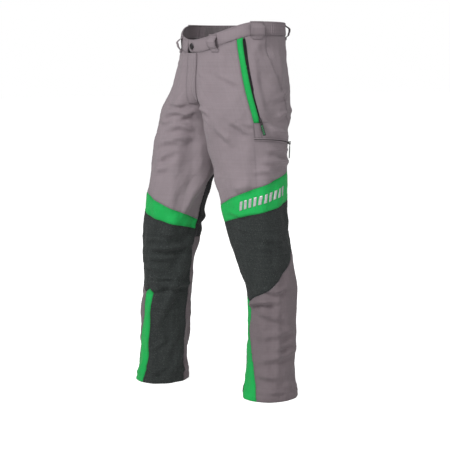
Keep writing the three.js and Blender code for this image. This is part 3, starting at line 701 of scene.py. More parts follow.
def newGroup(name, inputs, outputs):
    group = bpy.data.node_groups.new(name, "ShaderNodeTree")
    for label, kind, value in inputs:
        socket = group.interface.new_socket(label, in_out="INPUT", socket_type="NodeSocket" + kind)
        if value is not None:
            socket.default_value = value
    for label, kind in outputs:
        group.interface.new_socket(label, in_out="OUTPUT", socket_type="NodeSocket" + kind)
    return group, group.nodes.new("NodeGroupInput"), group.nodes.new("NodeGroupOutput")


def link(tree, a, b):
    tree.links.new(a, b)


def sums(tree, operation, *values, clamp=False):
    node = tree.nodes.new("ShaderNodeMath")
    node.operation = operation
    node.use_clamp = clamp
    for socket, value in zip(node.inputs, values):
        if isinstance(value, (int, float)):
            socket.default_value = value
        else:
            link(tree, value, socket)
    return node.outputs[0]


def speckle(tree, vector, scale, detail=2.0, roughness=0.5, stretch=(1, 1, 1)):
    turn = tree.nodes.new("ShaderNodeMapping")
    turn.inputs["Scale"].default_value = stretch
    link(tree, vector, turn.inputs["Vector"])
    node = tree.nodes.new("ShaderNodeTexNoise")
    node.inputs["Scale"].default_value = scale
    node.inputs["Detail"].default_value = detail
    node.inputs["Roughness"].default_value = roughness
    link(tree, turn.outputs[0], node.inputs["Vector"])
    return node.outputs["Fac"]


def blendColour(tree, share, a, b, way="MIX"):
    node = tree.nodes.new("ShaderNodeMix")
    node.data_type = "RGBA"
    node.blend_type = way
    for socket, value in ((node.inputs[0], share), (node.inputs[6], a), (node.inputs[7], b)):
        if isinstance(value, (int, float, tuple)):
            socket.default_value = value
        else:
            link(tree, value, socket)
    return node.outputs[2]


def makePlainWeave():  # over and under threads, and how bright each single thread is
    group, inside, outside = newGroup(
        "plainWeave",
        (("Place", "Vector", None), ("Warp per metre", "Float", 900.0), ("Weft per metre", "Float", 900.0)),
        (("Height", "Float"), ("Over", "Float"), ("Tone", "Float")),
    )
    split = group.nodes.new("ShaderNodeSeparateXYZ")
    link(group, inside.outputs["Place"], split.inputs[0])
    u = sums(group, "MULTIPLY", split.outputs[0], inside.outputs["Warp per metre"])
    v = sums(group, "MULTIPLY", split.outputs[1], inside.outputs["Weft per metre"])
    su = sums(group, "SINE", sums(group, "MULTIPLY", u, math.pi))
    sv = sums(group, "SINE", sums(group, "MULTIPLY", v, math.pi))
    over = sums(group, "GREATER_THAN", sums(group, "MULTIPLY", su, sv), 0.0)
    under = sums(group, "SUBTRACT", 1.0, over)
    height = sums(
        group, "ADD", sums(group, "MULTIPLY", sums(group, "ABSOLUTE", su), over),
        sums(group, "MULTIPLY", sums(group, "ABSOLUTE", sv), under),
    )
    tones = []
    for thread in (u, v):
        dice = group.nodes.new("ShaderNodeTexWhiteNoise")
        dice.noise_dimensions = "1D"
        link(group, sums(group, "FLOOR", thread), dice.inputs["W"])
        tones.append(dice.outputs["Value"])
    tone = sums(group, "ADD", sums(group, "MULTIPLY", tones[0], over), sums(group, "MULTIPLY", tones[1], under))
    for value, label in ((height, "Height"), (over, "Over"), (tone, "Tone")):
        link(group, value, outside.inputs[label])
    return group


def makeClothShade():  # broad fading, small scuffs and a hint of dust
    group, inside, outside = newGroup(
        "clothShade",
        (("Place", "Vector", None), ("Patch", "Float", 9.0), ("Grit", "Float", 260.0)),
        (("Fade", "Float"), ("Scuff", "Float"), ("Grain", "Float")),
    )
    broad = group.nodes.new("ShaderNodeTexNoise")
    broad.inputs["Detail"].default_value = 3.0
    fine = group.nodes.new("ShaderNodeTexNoise")
    fine.inputs["Detail"].default_value = 4.0
    grit = group.nodes.new("ShaderNodeTexNoise")
    grit.inputs["Detail"].default_value = 2.0
    for node, scale in ((broad, inside.outputs["Patch"]), (fine, sums(group, "MULTIPLY", inside.outputs["Patch"], 7.0)),
                        (grit, inside.outputs["Grit"])):
        link(group, inside.outputs["Place"], node.inputs["Vector"])
        link(group, scale, node.inputs["Scale"])
    scuff = sums(group, "MULTIPLY", sums(group, "SUBTRACT", fine.outputs["Fac"], 0.56), 5.0, clamp=True)
    link(group, broad.outputs["Fac"], outside.inputs["Fade"])
    link(group, scuff, outside.inputs["Scuff"])
    link(group, grit.outputs["Fac"], outside.inputs["Grain"])
    return group


plainWeave, clothShade = makePlainWeave(), makeClothShade()


def startFinish(name):
    finish = bpy.data.materials.new(name)
    finish.use_nodes = True
    tree = finish.node_tree
    return finish, tree, tree.nodes["Principled BSDF"]


def useGroup(tree, group, **values):
    node = tree.nodes.new("ShaderNodeGroup")
    node.node_tree = group
    for label, value in values.items():
        socket = node.inputs[label.replace("_", " ")]
        if isinstance(value, (int, float)):
            socket.default_value = value
        else:
            link(tree, value, socket)
    return node.outputs


def clothFinish(name, look):
    finish, tree, skin = startFinish(name)
    uv = tree.nodes.new("ShaderNodeUVMap")
    uv.uv_map = "clothUv"
    spot = tree.nodes.new("ShaderNodeTexCoord").outputs["Object"]
    seam = tree.nodes.new("ShaderNodeAttribute")
    seam.attribute_name = "nearSeam"
    weave = useGroup(tree, plainWeave, Place=uv.outputs[0], Warp_per_metre=look["warp"], Weft_per_metre=look["weft"])
    shade = useGroup(tree, clothShade, Place=spot, Patch=look.get("patch", 9.0), Grit=look.get("grit", 260.0))
    colour = blendColour(tree, shade["Fade"], paint(*look["dark"]), paint(*look["light"]))
    colour = blendColour(
        tree, sums(tree, "MULTIPLY", weave["Tone"], look["toneShow"]), colour, paint(*look["thread"])
    )
    if "fleck" in look:  # short light fibres lying along and across
        across = speckle(tree, uv.outputs[0], 620, 2, 0.6, (1, 0.28, 1))
        along = speckle(tree, uv.outputs[0], 560, 2, 0.6, (0.3, 1, 1))
        both = sums(tree, "MAXIMUM", across, along)
        mask = sums(tree, "MULTIPLY", sums(tree, "SUBTRACT", both, look["fleckFrom"]), 9.0, clamp=True)
        colour = blendColour(tree, sums(tree, "MULTIPLY", mask, look["fleckShow"]), colour, paint(*look["fleck"]))
    # painted shade and wear: the colour darkens towards each sewn seam, where the seam's dip would be in shade, mixed
    # by the nearSeam attribute
    seamShadeAndWearMask = sums(tree, "MULTIPLY", seam.outputs["Fac"], look.get("seamShow", 0.3))
    colour = blendColour(tree, seamShadeAndWearMask, colour, paint(*look.get("seam", look["dark"])))
    colour = blendColour(tree, sums(tree, "MULTIPLY", shade["Scuff"], 0.12), colour, paint(*look["thread"]))
    link(tree, colour, skin.inputs["Base Color"])
    rough = sums(tree, "ADD", look["rough"], sums(tree, "MULTIPLY", shade["Grain"], 0.12))
    link(tree, sums(tree, "SUBTRACT", rough, sums(tree, "MULTIPLY", weave["Over"], 0.05)), skin.inputs["Roughness"])
    height = sums(tree, "ADD", sums(tree, "MULTIPLY", weave["Height"], look["weaveDepth"]),
                  sums(tree, "MULTIPLY", shade["Grain"], look.get("grainDepth", 0.4)))
    bump = tree.nodes.new("ShaderNodeBump")
    bump.inputs["Strength"].default_value = look.get("bump", 0.35)
    bump.inputs["Distance"].default_value = 0.0006
    link(tree, height, bump.inputs["Height"])
    link(tree, bump.outputs[0], skin.inputs["Normal"])
    skin.inputs["Sheen Weight"].default_value = look.get("sheen", 0.1)
    skin.inputs["Sheen Roughness"].default_value = 0.5
    skin.inputs["Specular IOR Level"].default_value = look.get("gloss", 0.3)
    return finish


# each look's seam colour is the darker colour of the painted seam shade and wear
clothLooks = {
    "greyStretchCloth": {
        "dark": (128, 117, 122), "light": (145, 133, 138), "thread": (160, 149, 154), "toneShow": 0.3, "warp": 1050,
        "weft": 1050, "weaveDepth": 0.8, "rough": 0.72, "seam": (100, 92, 97), "seamShow": 0.4, "sheen": 0.12,
    },
    "calfStretchCloth": {
        "dark": (106, 95, 99), "light": (120, 109, 113), "thread": (137, 126, 130), "toneShow": 0.3, "warp": 1050,
        "weft": 1050, "weaveDepth": 0.8, "rough": 0.74, "seam": (84, 76, 81), "seamShow": 0.4, "sheen": 0.12,
    },
    "darkArmourCanvas": {
        "dark": (29, 33, 33), "light": (42, 46, 45), "thread": (62, 67, 66), "toneShow": 0.5, "warp": 720,
        "weft": 720, "weaveDepth": 1.2, "rough": 0.78, "bump": 0.55, "fleck": (112, 118, 116), "fleckFrom": 0.6,
        "fleckShow": 0.45, "seam": (30, 33, 35), "seamShow": 0.5, "sheen": 0.05, "patch": 14.0,
    },
    "greenStretchCloth": {
        "dark": (4, 160, 70), "light": (10, 182, 82), "thread": (44, 200, 108), "toneShow": 0.25, "warp": 1050,
        "weft": 1050, "weaveDepth": 0.7, "rough": 0.68, "seam": (4, 112, 52), "seamShow": 0.45, "sheen": 0.08,
    },
    # black knit for the back of the thigh: partly a vent panel, partly painted shade behind and between the legs
    "blackVentKnitAndPaintedShade": {
        "dark": (18, 18, 20), "light": (28, 28, 31), "thread": (46, 46, 50), "toneShow": 0.5, "warp": 520,
        "weft": 520, "weaveDepth": 1.5, "rough": 0.85, "bump": 0.7, "sheen": 0.1,
    },
    "meshLining": {
        "dark": (66, 68, 72), "light": (84, 86, 90), "thread": (112, 114, 118), "toneShow": 0.4, "warp": 430,
        "weft": 430, "weaveDepth": 1.6, "rough": 0.85, "bump": 0.8, "sheen": 0.1,
    },
    "protectiveFibrePad": {
        "dark": (196, 178, 96), "light": (220, 204, 126), "thread": (236, 226, 168), "toneShow": 0.5, "warp": 300,
        "weft": 120, "weaveDepth": 1.6, "rough": 0.88, "bump": 0.8, "sheen": 0.2,
    },
    "ribbedElastic": {
        "dark": (118, 110, 113), "light": (140, 131, 135), "thread": (160, 151, 154), "toneShow": 0.4, "warp": 240,
        "weft": 900, "weaveDepth": 1.6, "rough": 0.84, "bump": 0.9, "sheen": 0.1,
    },
    "blackZipTape": {
        "dark": (20, 20, 22), "light": (30, 30, 32), "thread": (48, 48, 52), "toneShow": 0.4, "warp": 900,
        "weft": 1500, "weaveDepth": 1.2, "rough": 0.7, "bump": 0.6, "sheen": 0.05,
    },
}
finishes = {name: clothFinish(name, look) for name, look in clothLooks.items()}


def hardFinish(name, look):
    finish, tree, skin = startFinish(name)
    spot = tree.nodes.new("ShaderNodeTexCoord").outputs["Object"]
    shade = useGroup(tree, clothShade, Place=spot, Patch=look["patch"], Grit=look["grit"])
    colour = blendColour(tree, shade["Fade"], paint(*look["dark"]), paint(*look["light"]))
    colour = blendColour(tree, sums(tree, "MULTIPLY", shade["Scuff"], look["scuffShow"]), colour, paint(*look["scuff"]))
    link(tree, colour, skin.inputs["Base Color"])
    rough = sums(tree, "ADD", look["rough"], sums(tree, "MULTIPLY", shade["Scuff"], look["scuffRough"]))
    link(tree, sums(tree, "ADD", rough, sums(tree, "MULTIPLY", shade["Grain"], 0.08)), skin.inputs["Roughness"])
    skin.inputs["Metallic"].default_value = look["metal"]
    bump = tree.nodes.new("ShaderNodeBump")
    bump.inputs["Strength"].default_value = look["bump"]
    bump.inputs["Distance"].default_value = 0.0002
    link(tree, shade["Grain"], bump.inputs["Height"])
    link(tree, bump.outputs[0], skin.inputs["Normal"])
    return finish


hardLooks = {
    "darkPlatedMetal": {
        "dark": (62, 60, 62), "light": (84, 82, 84), "scuff": (150, 148, 150), "scuffShow": 0.5, "rough": 0.26,
        "scuffRough": 0.2, "metal": 0.95, "patch": 60, "grit": 1500, "bump": 0.15,
    },
    "mouldedPullRubber": {
        "dark": (20, 21, 21), "light": (32, 33, 33), "scuff": (62, 63, 63), "scuffShow": 0.4, "rough": 0.5,
        "scuffRough": 0.15, "metal": 0.0, "patch": 70, "grit": 1800, "bump": 0.3,
    },
    "greenPullInk": {
        "dark": (30, 150, 80), "light": (60, 186, 110), "scuff": (120, 210, 150), "scuffShow": 0.4, "rough": 0.5,
        "scuffRough": 0.15, "metal": 0.0, "patch": 90, "grit": 1800, "bump": 0.2,
    },
    "zipCoilNylon": {
        "dark": (16, 16, 17), "light": (28, 28, 30), "scuff": (70, 70, 74), "scuffShow": 0.4, "rough": 0.38,
        "scuffRough": 0.15, "metal": 0.0, "patch": 80, "grit": 2000, "bump": 0.1,
    },
    "silverReflectivePrint": {
        "dark": (176, 178, 178), "light": (214, 216, 216), "scuff": (120, 124, 124), "scuffShow": 0.7, "rough": 0.34,
        "scuffRough": 0.25, "metal": 0.45, "patch": 45, "grit": 1400, "bump": 0.25,
    },
    "greyThread": {
        "dark": (92, 84, 89), "light": (116, 108, 113), "scuff": (140, 132, 137), "scuffShow": 0.3, "rough": 0.7,
        "scuffRough": 0.1, "metal": 0.0, "patch": 60, "grit": 1500, "bump": 0.3,
    },
    "greenThread": {
        "dark": (8, 128, 58), "light": (22, 158, 78), "scuff": (60, 190, 110), "scuffShow": 0.3, "rough": 0.7,
        "scuffRough": 0.1, "metal": 0.0, "patch": 60, "grit": 1500, "bump": 0.3,
    },
    "darkThread": {
        "dark": (34, 37, 39), "light": (56, 60, 63), "scuff": (84, 88, 92), "scuffShow": 0.3, "rough": 0.7,
        "scuffRough": 0.1, "metal": 0.0, "patch": 60, "grit": 1500, "bump": 0.3,
    },
    # pale thread, laid along the sweeping seam both as stitches and as a painted highlight on the seam's ridge
    "paleThreadAndPaintedHighlight": {
        "dark": (150, 146, 148), "light": (176, 172, 174), "scuff": (196, 192, 194), "scuffShow": 0.3, "rough": 0.65,
        "scuffRough": 0.1, "metal": 0.0, "patch": 60, "grit": 1500, "bump": 0.3,
    },
}
finishes.update({name: hardFinish(name, look) for name, look in hardLooks.items()})
print("made", len(finishes), "finishes")


def constant(value):
    return lambda z: value + 0 * np.asarray(z, float)


def between(low, high, share):
    return lambda angle: mix(low(angle), high(angle), share)


def flySlot(z):  # how far each front stands from the middle, so the fly's slider has room
    top, bottom = zipCut["flyTop"], zipCut["flyBottom"]
    return 0.0054 * smooth(bottom - 0.014, bottom - 0.008, z) * (1 - smooth(top + 0.008, top + 0.014, z))


# the outer cloth of each leg
outerCut = {
    "pitch": 0.004, "thickness": 0.0014, "padThickness": 0.0044, "liningThickness": 0.0012, "innerPitch": 0.0065,
}
panelThreads = []  # (colour, side, angles, heights, out) of each line of stitches
for side in (1, -1):
    end, leg = nodeEnd[side], legName[side]
    thick = outerCut["thickness"]
    grey, calfGrey = finishes["greyStretchCloth"], finishes["calfStretchCloth"]
    green, dark = finishes["greenStretchCloth"], finishes["darkArmourCanvas"]
    inner = lambda z, side=side: innerSeam(side, z)
    behind = lambda z, side=side: backSeam(side, z)
    cargoTop = lambda angle, side=side: cargoHeight(side, angle) + zipCut["narrowGap"]
    cargoLow = lambda angle, side=side: cargoHeight(side, angle) - zipCut["narrowGap"]
    atFly = lambda z, side=side: np.where(z > crotch, frontAngle(side, z, flySlot(z)), innerSeam(side, z))
    weltEdge = lambda z, side=side: weltFront(side, z)
    zipEdge = lambda z, side=side: zipAngle(side, z) + nearZip(side, z, zipCut["narrowGap"])
    lid = zipCut["thighBottom"] + 0.0012
    flatLid = constant(lid)

    def add(name, patches, finish, node, thickness=thick):
        dress(closeShell(name + leg, patches, thickness), finish, (node + "_" + end,))

    add("frontThigh", [patch(side, atFly, weltEdge, bandTop, waistLow)], grey, "front_thigh")
    lowRows = shares(0.05, outerCut["pitch"], (True, False))
    columns = shares(float(seatEdge(lid) - zipEdge(lid)) * 0.0022, outerCut["pitch"])
    hip = [
        patch(side, zipEdge, seatEdge, cargoTop, flatLid, rows=lowRows, columns=columns, sewn=(0, 1, 1, 0),
              gaps=(0, 1, 1, 0)),
        patch(side, zipEdge, seatEdge, flatLid, waistLow, columns=columns, sewn=(1, 1, 0, 1), gaps=(0, 1, 0, 1)),
        patch(side, weltEdge, zipEdge, cargoTop, flatLid, rows=lowRows, sewn=(1, 0, 1, 1), gaps=(1, 0, 1, 0)),
    ]
    add("sideHip", hip, grey, "side_hip")
    add("sideThigh", [patch(side, constant(thighSeam), constant(outseam), bandTop, cargoLow)], grey,
        "side_thigh")
    add("seat", [patch(side, seatEdge, behind, constant(cargoLine), waistLow)], grey, "seat")
    # the back of the thigh is black vent knit; this is partly a vent panel and partly painted shade standing in for the
    # shadow behind and between the legs
    add("ventBackAndPaintedShade", [patch(side, constant(outseam), behind, constant(kneeTop), constant(cargoLine))],
        finishes["blackVentKnitAndPaintedShade"], "back_thigh")
    add("kneeBand", [patch(side, inner, constant(outseam), bandLow, bandTop)], green, "knee_band")
    hemLift = constant(pattern["hemLift"])
    stripeCorner = float(stripeInner(0.27))
    upRows = shares(0.21, outerCut["pitch"], (False, True))
    armourColumns = shares(float(stripeCorner + 132) * 0.00128, outerCut["pitch"])
    armour = [
        patch(side, constant(innerBack - 360), stripeInner, hemLift, constant(stripeTop), columns=armourColumns,
              sewn=(1, 1, 0, 0), gaps=(1, 0, 0, 0)),
        patch(side, constant(innerBack - 360), constant(stripeCorner), constant(stripeTop), bandLow, rows=upRows,
              columns=armourColumns, sewn=(1, 0, 0, 1), gaps=(1, 0, 0, 1)),
        patch(side, constant(stripeCorner), constant(outseam),
              lambda angle: np.where(angle < -14, stripeHigh(angle), sweepHeight(angle)), bandLow, rows=upRows,
              sewn=(0, 1, 1, 1), gaps=(0, 1, 1, 1)),
    ]
    add("armourPanel", armour, dark, "armour_panel")
    add("shinStripe", [patch(side, stripeInner, stripeOuter, hemLift, stripeHigh, sewn=(1, 1, 0, 1))], green,
        "shin_stripe")
    add("calfSide", [patch(side, stripeOuter, constant(outseam), hemLift, sweepHeight, sewn=(1, 1, 0, 1))], calfGrey,
        "calf_side")
    add("calfBack", [patch(side, constant(outseam), constant(innerBack), hemLift, constant(kneeTop),
                           sewn=(1, 1, 0, 1))],
        calfGrey, "calf_back")

    # inside the leg
    padEdge = lambda z, side=side: np.maximum(-104 - turnAt(side, z), frontAngle(side, z) + 10)
    liningEdge = lambda z, side=side: np.maximum(-104 - turnAt(side, z), frontAngle(side, z) + 3)
    padTop = lambda angle: mix(0.83, 0.73526, smooth(25, 55, angle))
    underBand = lambda angle: waistLow(angle) - 0.003
    backEdge = lambda z, side=side: np.minimum(252 - turnAt(side, z), backAngle(side, z) - 1.2)
    coarse = {"pitch": outerCut["innerPitch"], "sewn": (0, 0, 0, 0)}
    pad = closeShell(
        "cutProtection" + leg, [patch(side, padEdge, constant(110), constant(0.055), padTop, out=-0.0054, **coarse)],
        outerCut["padThickness"],
    )
    dress(pad, finishes["protectiveFibrePad"], ("cut_protection_" + end,))
    for name, node, a, b, out in (
        ("liningFront", "lining_front_", liningEdge, constant(110), -0.0114),
        ("liningBack", "lining_back_", constant(112), backEdge, -0.0053),
    ):
        layer = closeShell(
            name + leg, [patch(side, a, b, constant(0.032), underBand, out=out, **coarse)], outerCut["liningThickness"]
        )
        dress(layer, finishes["meshLining"], (node + end,))
    hem = closeShell(
        "hem" + leg,
        [patch(side, constant(innerBack - 360), constant(innerBack), constant(0.0), constant(0.026), out=-0.0025,
               sewn=(0, 0, 0, 0), gaps=(1, 1, 0, 0))],
        0.0014,
    )
    dress(hem, calfGrey, ("hem_" + end,))
    print("sewed the", leg.lower(), "leg's panels")

    # the thigh zip's green welt
    welt = patch(
        side, weltEdge, lambda z, side=side: weltBack(side, z), constant(zipCut["thighBottom"] + 0.0014), waistLow,
        pitch=0.003, out=0.0014, gaps=(1, 0, 0, 1),
    )
    piece = closeShell("thighZipWelt" + leg, [welt], 0.0026)
    dress(piece, finishes["greenStretchCloth"], ("thigh_zip_welt_" + end,))

    # lines of stitches
    def upright(colour, edge, low, high, away, out=0.0002, side=side):
        z = np.linspace(low, high, max(6, int((high - low) / 0.006)))
        angle = edge(z)
        panelThreads.append((colour, side, angle + away / spanOf(side, angle, z), z, out))

    def crosswise(colour, height, start, finish, away, out=0.0002, side=side):
        angle = np.linspace(start, finish, max(6, int(abs(finish - start) / 3)))
        panelThreads.append((colour, side, angle, height(angle) + away, out))

    upright("greyThread", seatEdge, 0.735, 0.955, 0.004)
    upright("greyThread", weltEdge, 0.772, 0.95, -0.0035)
    upright("greenThread", weltEdge, 0.772, 0.95, 0.0035, out=0.0016)
    upright("greyThread", constant(outseam), 0.02, 0.41, -0.0035)
    upright("greyThread", constant(innerBack), 0.02, 0.41, -0.0035)
    upright("greyThread", stripeOuter, 0.02, 0.262, 0.0035)
    upright("greenThread", stripeInner, 0.02, 0.262, 0.0035)
    upright("darkThread", stripeInner, 0.02, 0.262, -0.0035)
    upright("greyThread", constant(thighSeam), 0.6, 0.7, 0.0035)
    crosswise("greyThread", cargoTop, 66, 146, 0.0042)
    crosswise("greyThread", cargoTop, 66, 146, 0.0102)
    crosswise("greyThread", cargoLow, 66, 146, -0.0042)
    crosswise("greenThread", bandTop, -128, 146, -0.0038)
    crosswise("greenThread", bandLow, -128, 146, 0.0038)
    crosswise("darkThread", bandLow, -128, 146, -0.0038)
    crosswise("greyThread", bandTop, -128, 146, 0.0038)
    # pale stitches along the armour's sweeping seam: partly thread, partly a painted highlight along the seam's ridge
    crosswise("paleThreadAndPaintedHighlight", sweepHeight, -12, 148, 0.0004, out=-0.0002)
    crosswise("darkThread", sweepHeight, -12, 148, 0.0038)
    crosswise("greyThread", constant(0.0225), 20, 226, 0)
    crosswise("darkThread", constant(0.0225), -130, -42, 0)
    crosswise("greenThread", constant(0.0225), -27, 18, 0)
    crosswise("greyThread", lambda angle: waistLow(angle) - 0.0035, 10, 57, 0)
    crosswise("greyThread", lambda angle: waistLow(angle) - 0.0035, 74, 178, 0)
    tackAngles = np.array([62, 62, 67, 67, 62]) + 3
    tackHeights = np.array([0.7235, 0.7445, 0.7445, 0.7235, 0.7235])
    panelThreads.append(("greyThread", side, tackAngles, tackHeights, 0.0002))


# the waist
waistCut = {
    "wrap": 8, "elasticFrom": 86, "thickness": 0.003, "out": 0.0008, "gathers": 0.0011, "gatherLength": 0.0088,
    "loopWidth": 0.028, "sideLoopWidth": 0.038, "standOff": 0.013, "loopThickness": 0.0018,
}


def gathered(angle, z):  # the elastic pulls the band into short upright waves
    along = angle * metresPerDegree(z)
    wave = np.sin(2 * math.pi * along / waistCut["gatherLength"] + 1.6 * np.sin(along * 47) + 1.1 * np.sin(along * 19))
    inside = smooth(90, 98, angle) * (1 - smooth(262, 270, angle))
    edge = smooth(0, 0.004, z - waistLow(np.minimum(angle, 360 - angle)))
    return waistCut["gathers"] * wave * inside * (0.55 + 0.45 * edge)


def bandLift(angle, z):  # a shallow hollow between the band's stitched edges
    share = (z - waistLow(angle)) / wornShape["waistbandHeight"]
    return 0.0009 * np.sin(math.pi * np.clip(share, 0, 1)) + 0.0006 * np.sin(np.radians(angle) * 9 + z * 90)


backLow = lambda angle: waistLow(np.minimum(angle, 360 - angle))
backTop = lambda angle: backLow(angle) + wornShape["waistbandHeight"]
wrap, elasticFrom = waistCut["wrap"], waistCut["elasticFrom"]
backCells = {"rows": shares(0.036, 0.0035), "columns": shares(0.47, 0.0016)}
for name, node, side, start, finish, low, high, settings in (
    ("waistbandLeft", "waistband_left", 1, -wrap, elasticFrom, waistLow, waistTop, {"lift": bandLift}),
    ("waistbandRight", "waistband_right", -1, wrap, elasticFrom, waistLow, waistTop, {"lift": bandLift}),
    ("waistbandBack", "waistband_back", 1, elasticFrom, 360 - elasticFrom, backLow, backTop,
     {"lift": gathered, **backCells}),
):
    band = patch(side, constant(start), constant(finish), low, high, pitch=0.0035, out=waistCut["out"], folded=0.0,
                 keepSide=False, gaps=(0.3, 0.3, 1, 1), **settings)
    dress(closeShell(name, [band], waistCut["thickness"]), finishes["greyStretchCloth"], (node,))
elastic = patch(
    1, constant(elasticFrom + 9.4), constant(360 - elasticFrom - 9.4), lambda a: backLow(a) + 0.004,
    lambda a: backTop(a) - 0.004, out=0.00005 - waistCut["thickness"], folded=0.0, keepSide=False,
    rows=shares(0.028, 0.004), columns=shares(0.44, 0.0022), lift=gathered, sewn=(0, 0, 0, 0),
)
dress(closeShell("waistElastic", [elastic], 0.0012), finishes["ribbedElastic"], ("waist_elastic",))

loopOut = monotone(
    (0, 0.146, 0.27, 0.458, 0.604, 0.729, 0.875, 1.0), (0.0029, 0.0031, 0.0109, 0.0148, 0.0158, 0.01155, 0.0034, 0.0032)
)


def beltLoop(name, node, side, angle, width, tapered):
    low = float(waistLow(min(angle, 360 - angle))) - 0.012
    high = low + wornShape["waistbandHeight"] + 0.012
    half = width / 2 / float(spanOf(side, np.array(float(angle)), np.array(high)))

    def halfAt(z):
        share = (z - low) / (high - low)
        corner = 0.92 - 0.16 * (1 - smooth(0, 0.06, share))
        shape = 1 - 0.14 * (1 - smooth(0.0, 0.35, share)) if tapered else 1 + 0 * share
        return half * shape * corner

    strap = patch(
        side, lambda z: angle - halfAt(z), lambda z: angle + halfAt(z), constant(low), constant(high), pitch=0.002,
        folded=0.0, keepSide=False, gaps=(0, 0, 0, 0), sewn=(0.4, 0.4, 0.4, 0.4),
        lift=lambda a, z: loopOut((z - low) / (high - low)) + 0.0004 * np.sin(z * 260 + angle),
    )
    loop = closeShell(name, [strap], waistCut["loopThickness"])
    dress(loop, finishes["greyStretchCloth"], (node,))
    for away in (-0.8, 0.8):
        z = np.linspace(low + 0.003, high - 0.003, 18)
        lifted = loopOut((z - low) / (high - low))
        panelThreads.append(("greyThread", side, angle + away * halfAt(z), z, ("lift", lifted)))
    for share in (0.05, 0.115, 0.92, 0.965):
        z = low + share * (high - low)
        across = np.linspace(-0.8, 0.8, 8) * float(halfAt(np.array(z)))
        level = np.full(8, float(loopOut(share)))
        panelThreads.append(("greyThread", side, angle + across, np.full(8, z), ("lift", level)))


for name, node, side, angle, width, tapered in (
    ("beltLoopFrontLeft", "belt_loop_front_left", 1, 28, waistCut["loopWidth"], False),
    ("beltLoopFrontRight", "belt_loop_front_right", -1, 28, waistCut["loopWidth"], False),
    ("beltLoopSideLeft", "belt_loop_side_left", 1, 76, waistCut["sideLoopWidth"], True),
    ("beltLoopSideRight", "belt_loop_side_right", -1, 76, waistCut["sideLoopWidth"], True),
    ("beltLoopBackLeft", "belt_loop_back_left", 1, 145, waistCut["loopWidth"], False),
    ("beltLoopBackRight", "belt_loop_back_right", -1, 145, waistCut["loopWidth"], False),
    ("beltLoopCentreBack", "belt_loop_centre_back", 1, 180, waistCut["loopWidth"], False),
):
    beltLoop(name, node, side, float(angle), width, tapered)
for side, start in ((1, -6), (-1, 10)):
    for away in (0.004, 0.032):
        angle = np.linspace(start, elasticFrom - 1, 40)
        panelThreads.append(("greyThread", side, angle, waistLow(angle) + away, ("lift", np.full(40, 0.0012))))
for away in (0.004, 0.012, 0.024, 0.032):
    angle = np.linspace(elasticFrom + 1, 359 - elasticFrom, 240)
    z = backLow(angle) + away
    panelThreads.append(("greyThread", 1, angle, z, ("lift", waistCut["out"] + 0.0002 + gathered(angle, z))))
print("made the waistband and its loops")

# the fly
flyCut = {"halfWidth": 0.022, "bottom": 0.814, "top": 0.9524, "shield": 0.015, "round": 0.016}


def flapPatch(halfWidth, out, bottom, top, across, up):
    s, t = np.meshgrid(np.linspace(0, 1, up), np.linspace(0, 1, across), indexing="ij")
    x = mix(-halfWidth, halfWidth, t)
    corner = flyCut["round"] * (1 - np.sqrt(np.clip(1 - np.clip((x + 0.004) / (halfWidth + 0.004), 0, 1) ** 2, 0, 1)))
    z = mix(bottom + corner, top, s)
    left = onCloth(1, frontAngle(1, z, abs(x)), z)[..., 1]
    right = onCloth(-1, frontAngle(-1, z, abs(x)), z)[..., 1]
    y = np.where(x < 0, right, left) - out(abs(x))
    edge = np.minimum.reduce([(1 - abs(x) / halfWidth) * halfWidth, (z - bottom - corner)])
    y = y + 0.0008 * (1 - smooth(0, 0.003, edge))
    points = np.stack([x, y, z], -1) + place
    du, dv = np.gradient(points, axis=1), np.gradient(points, axis=0)
    return {
        "points": points, "normals": unit(np.cross(du, dv)), "near": np.exp(-edge / 0.003), "turned": False,
        "uv": np.stack([x, z], -1),
    }


def flapOut(x):
    return 0.0016 + mix(0.0038, 0.0017, smooth(0.008, 0.017, x))


placket = closeShell(
    "flyPlacket", [flapPatch(flyCut["halfWidth"], flapOut, flyCut["bottom"], flyCut["top"], 40, 60)], 0.0016
)
dress(placket, finishes["greyStretchCloth"], ("fly_placket",))
shield = closeShell(
    "flyShield", [flapPatch(flyCut["shield"], lambda x: -0.0062 + 0 * x, zipCut["flyBottom"], flyCut["top"], 12, 24)],
    0.0014,
)
dress(shield, finishes["meshLining"], ("fly_shield",))


# threads and zip teeth grow along paths in a node tree
def pathsToMesh(name, paths):  # each path is (points, facing)
    mesh = bpy.data.meshes.new(name)
    points = np.concatenate([p for p, _ in paths])
    facing = np.concatenate([f for _, f in paths])
    edges, start = [], 0
    for p, _ in paths:
        edges += [(start + i, start + i + 1) for i in range(len(p) - 1)]
        start += len(p)
    mesh.from_pydata(points.tolist(), edges, [])
    mesh.attributes.new("facing", "FLOAT_VECTOR", "POINT").data.foreach_set("vector", facing.astype(np.float32).ravel())
    carrier = bpy.data.objects.new(name, mesh)
    scene.collection.objects.link(carrier)
    return carrier


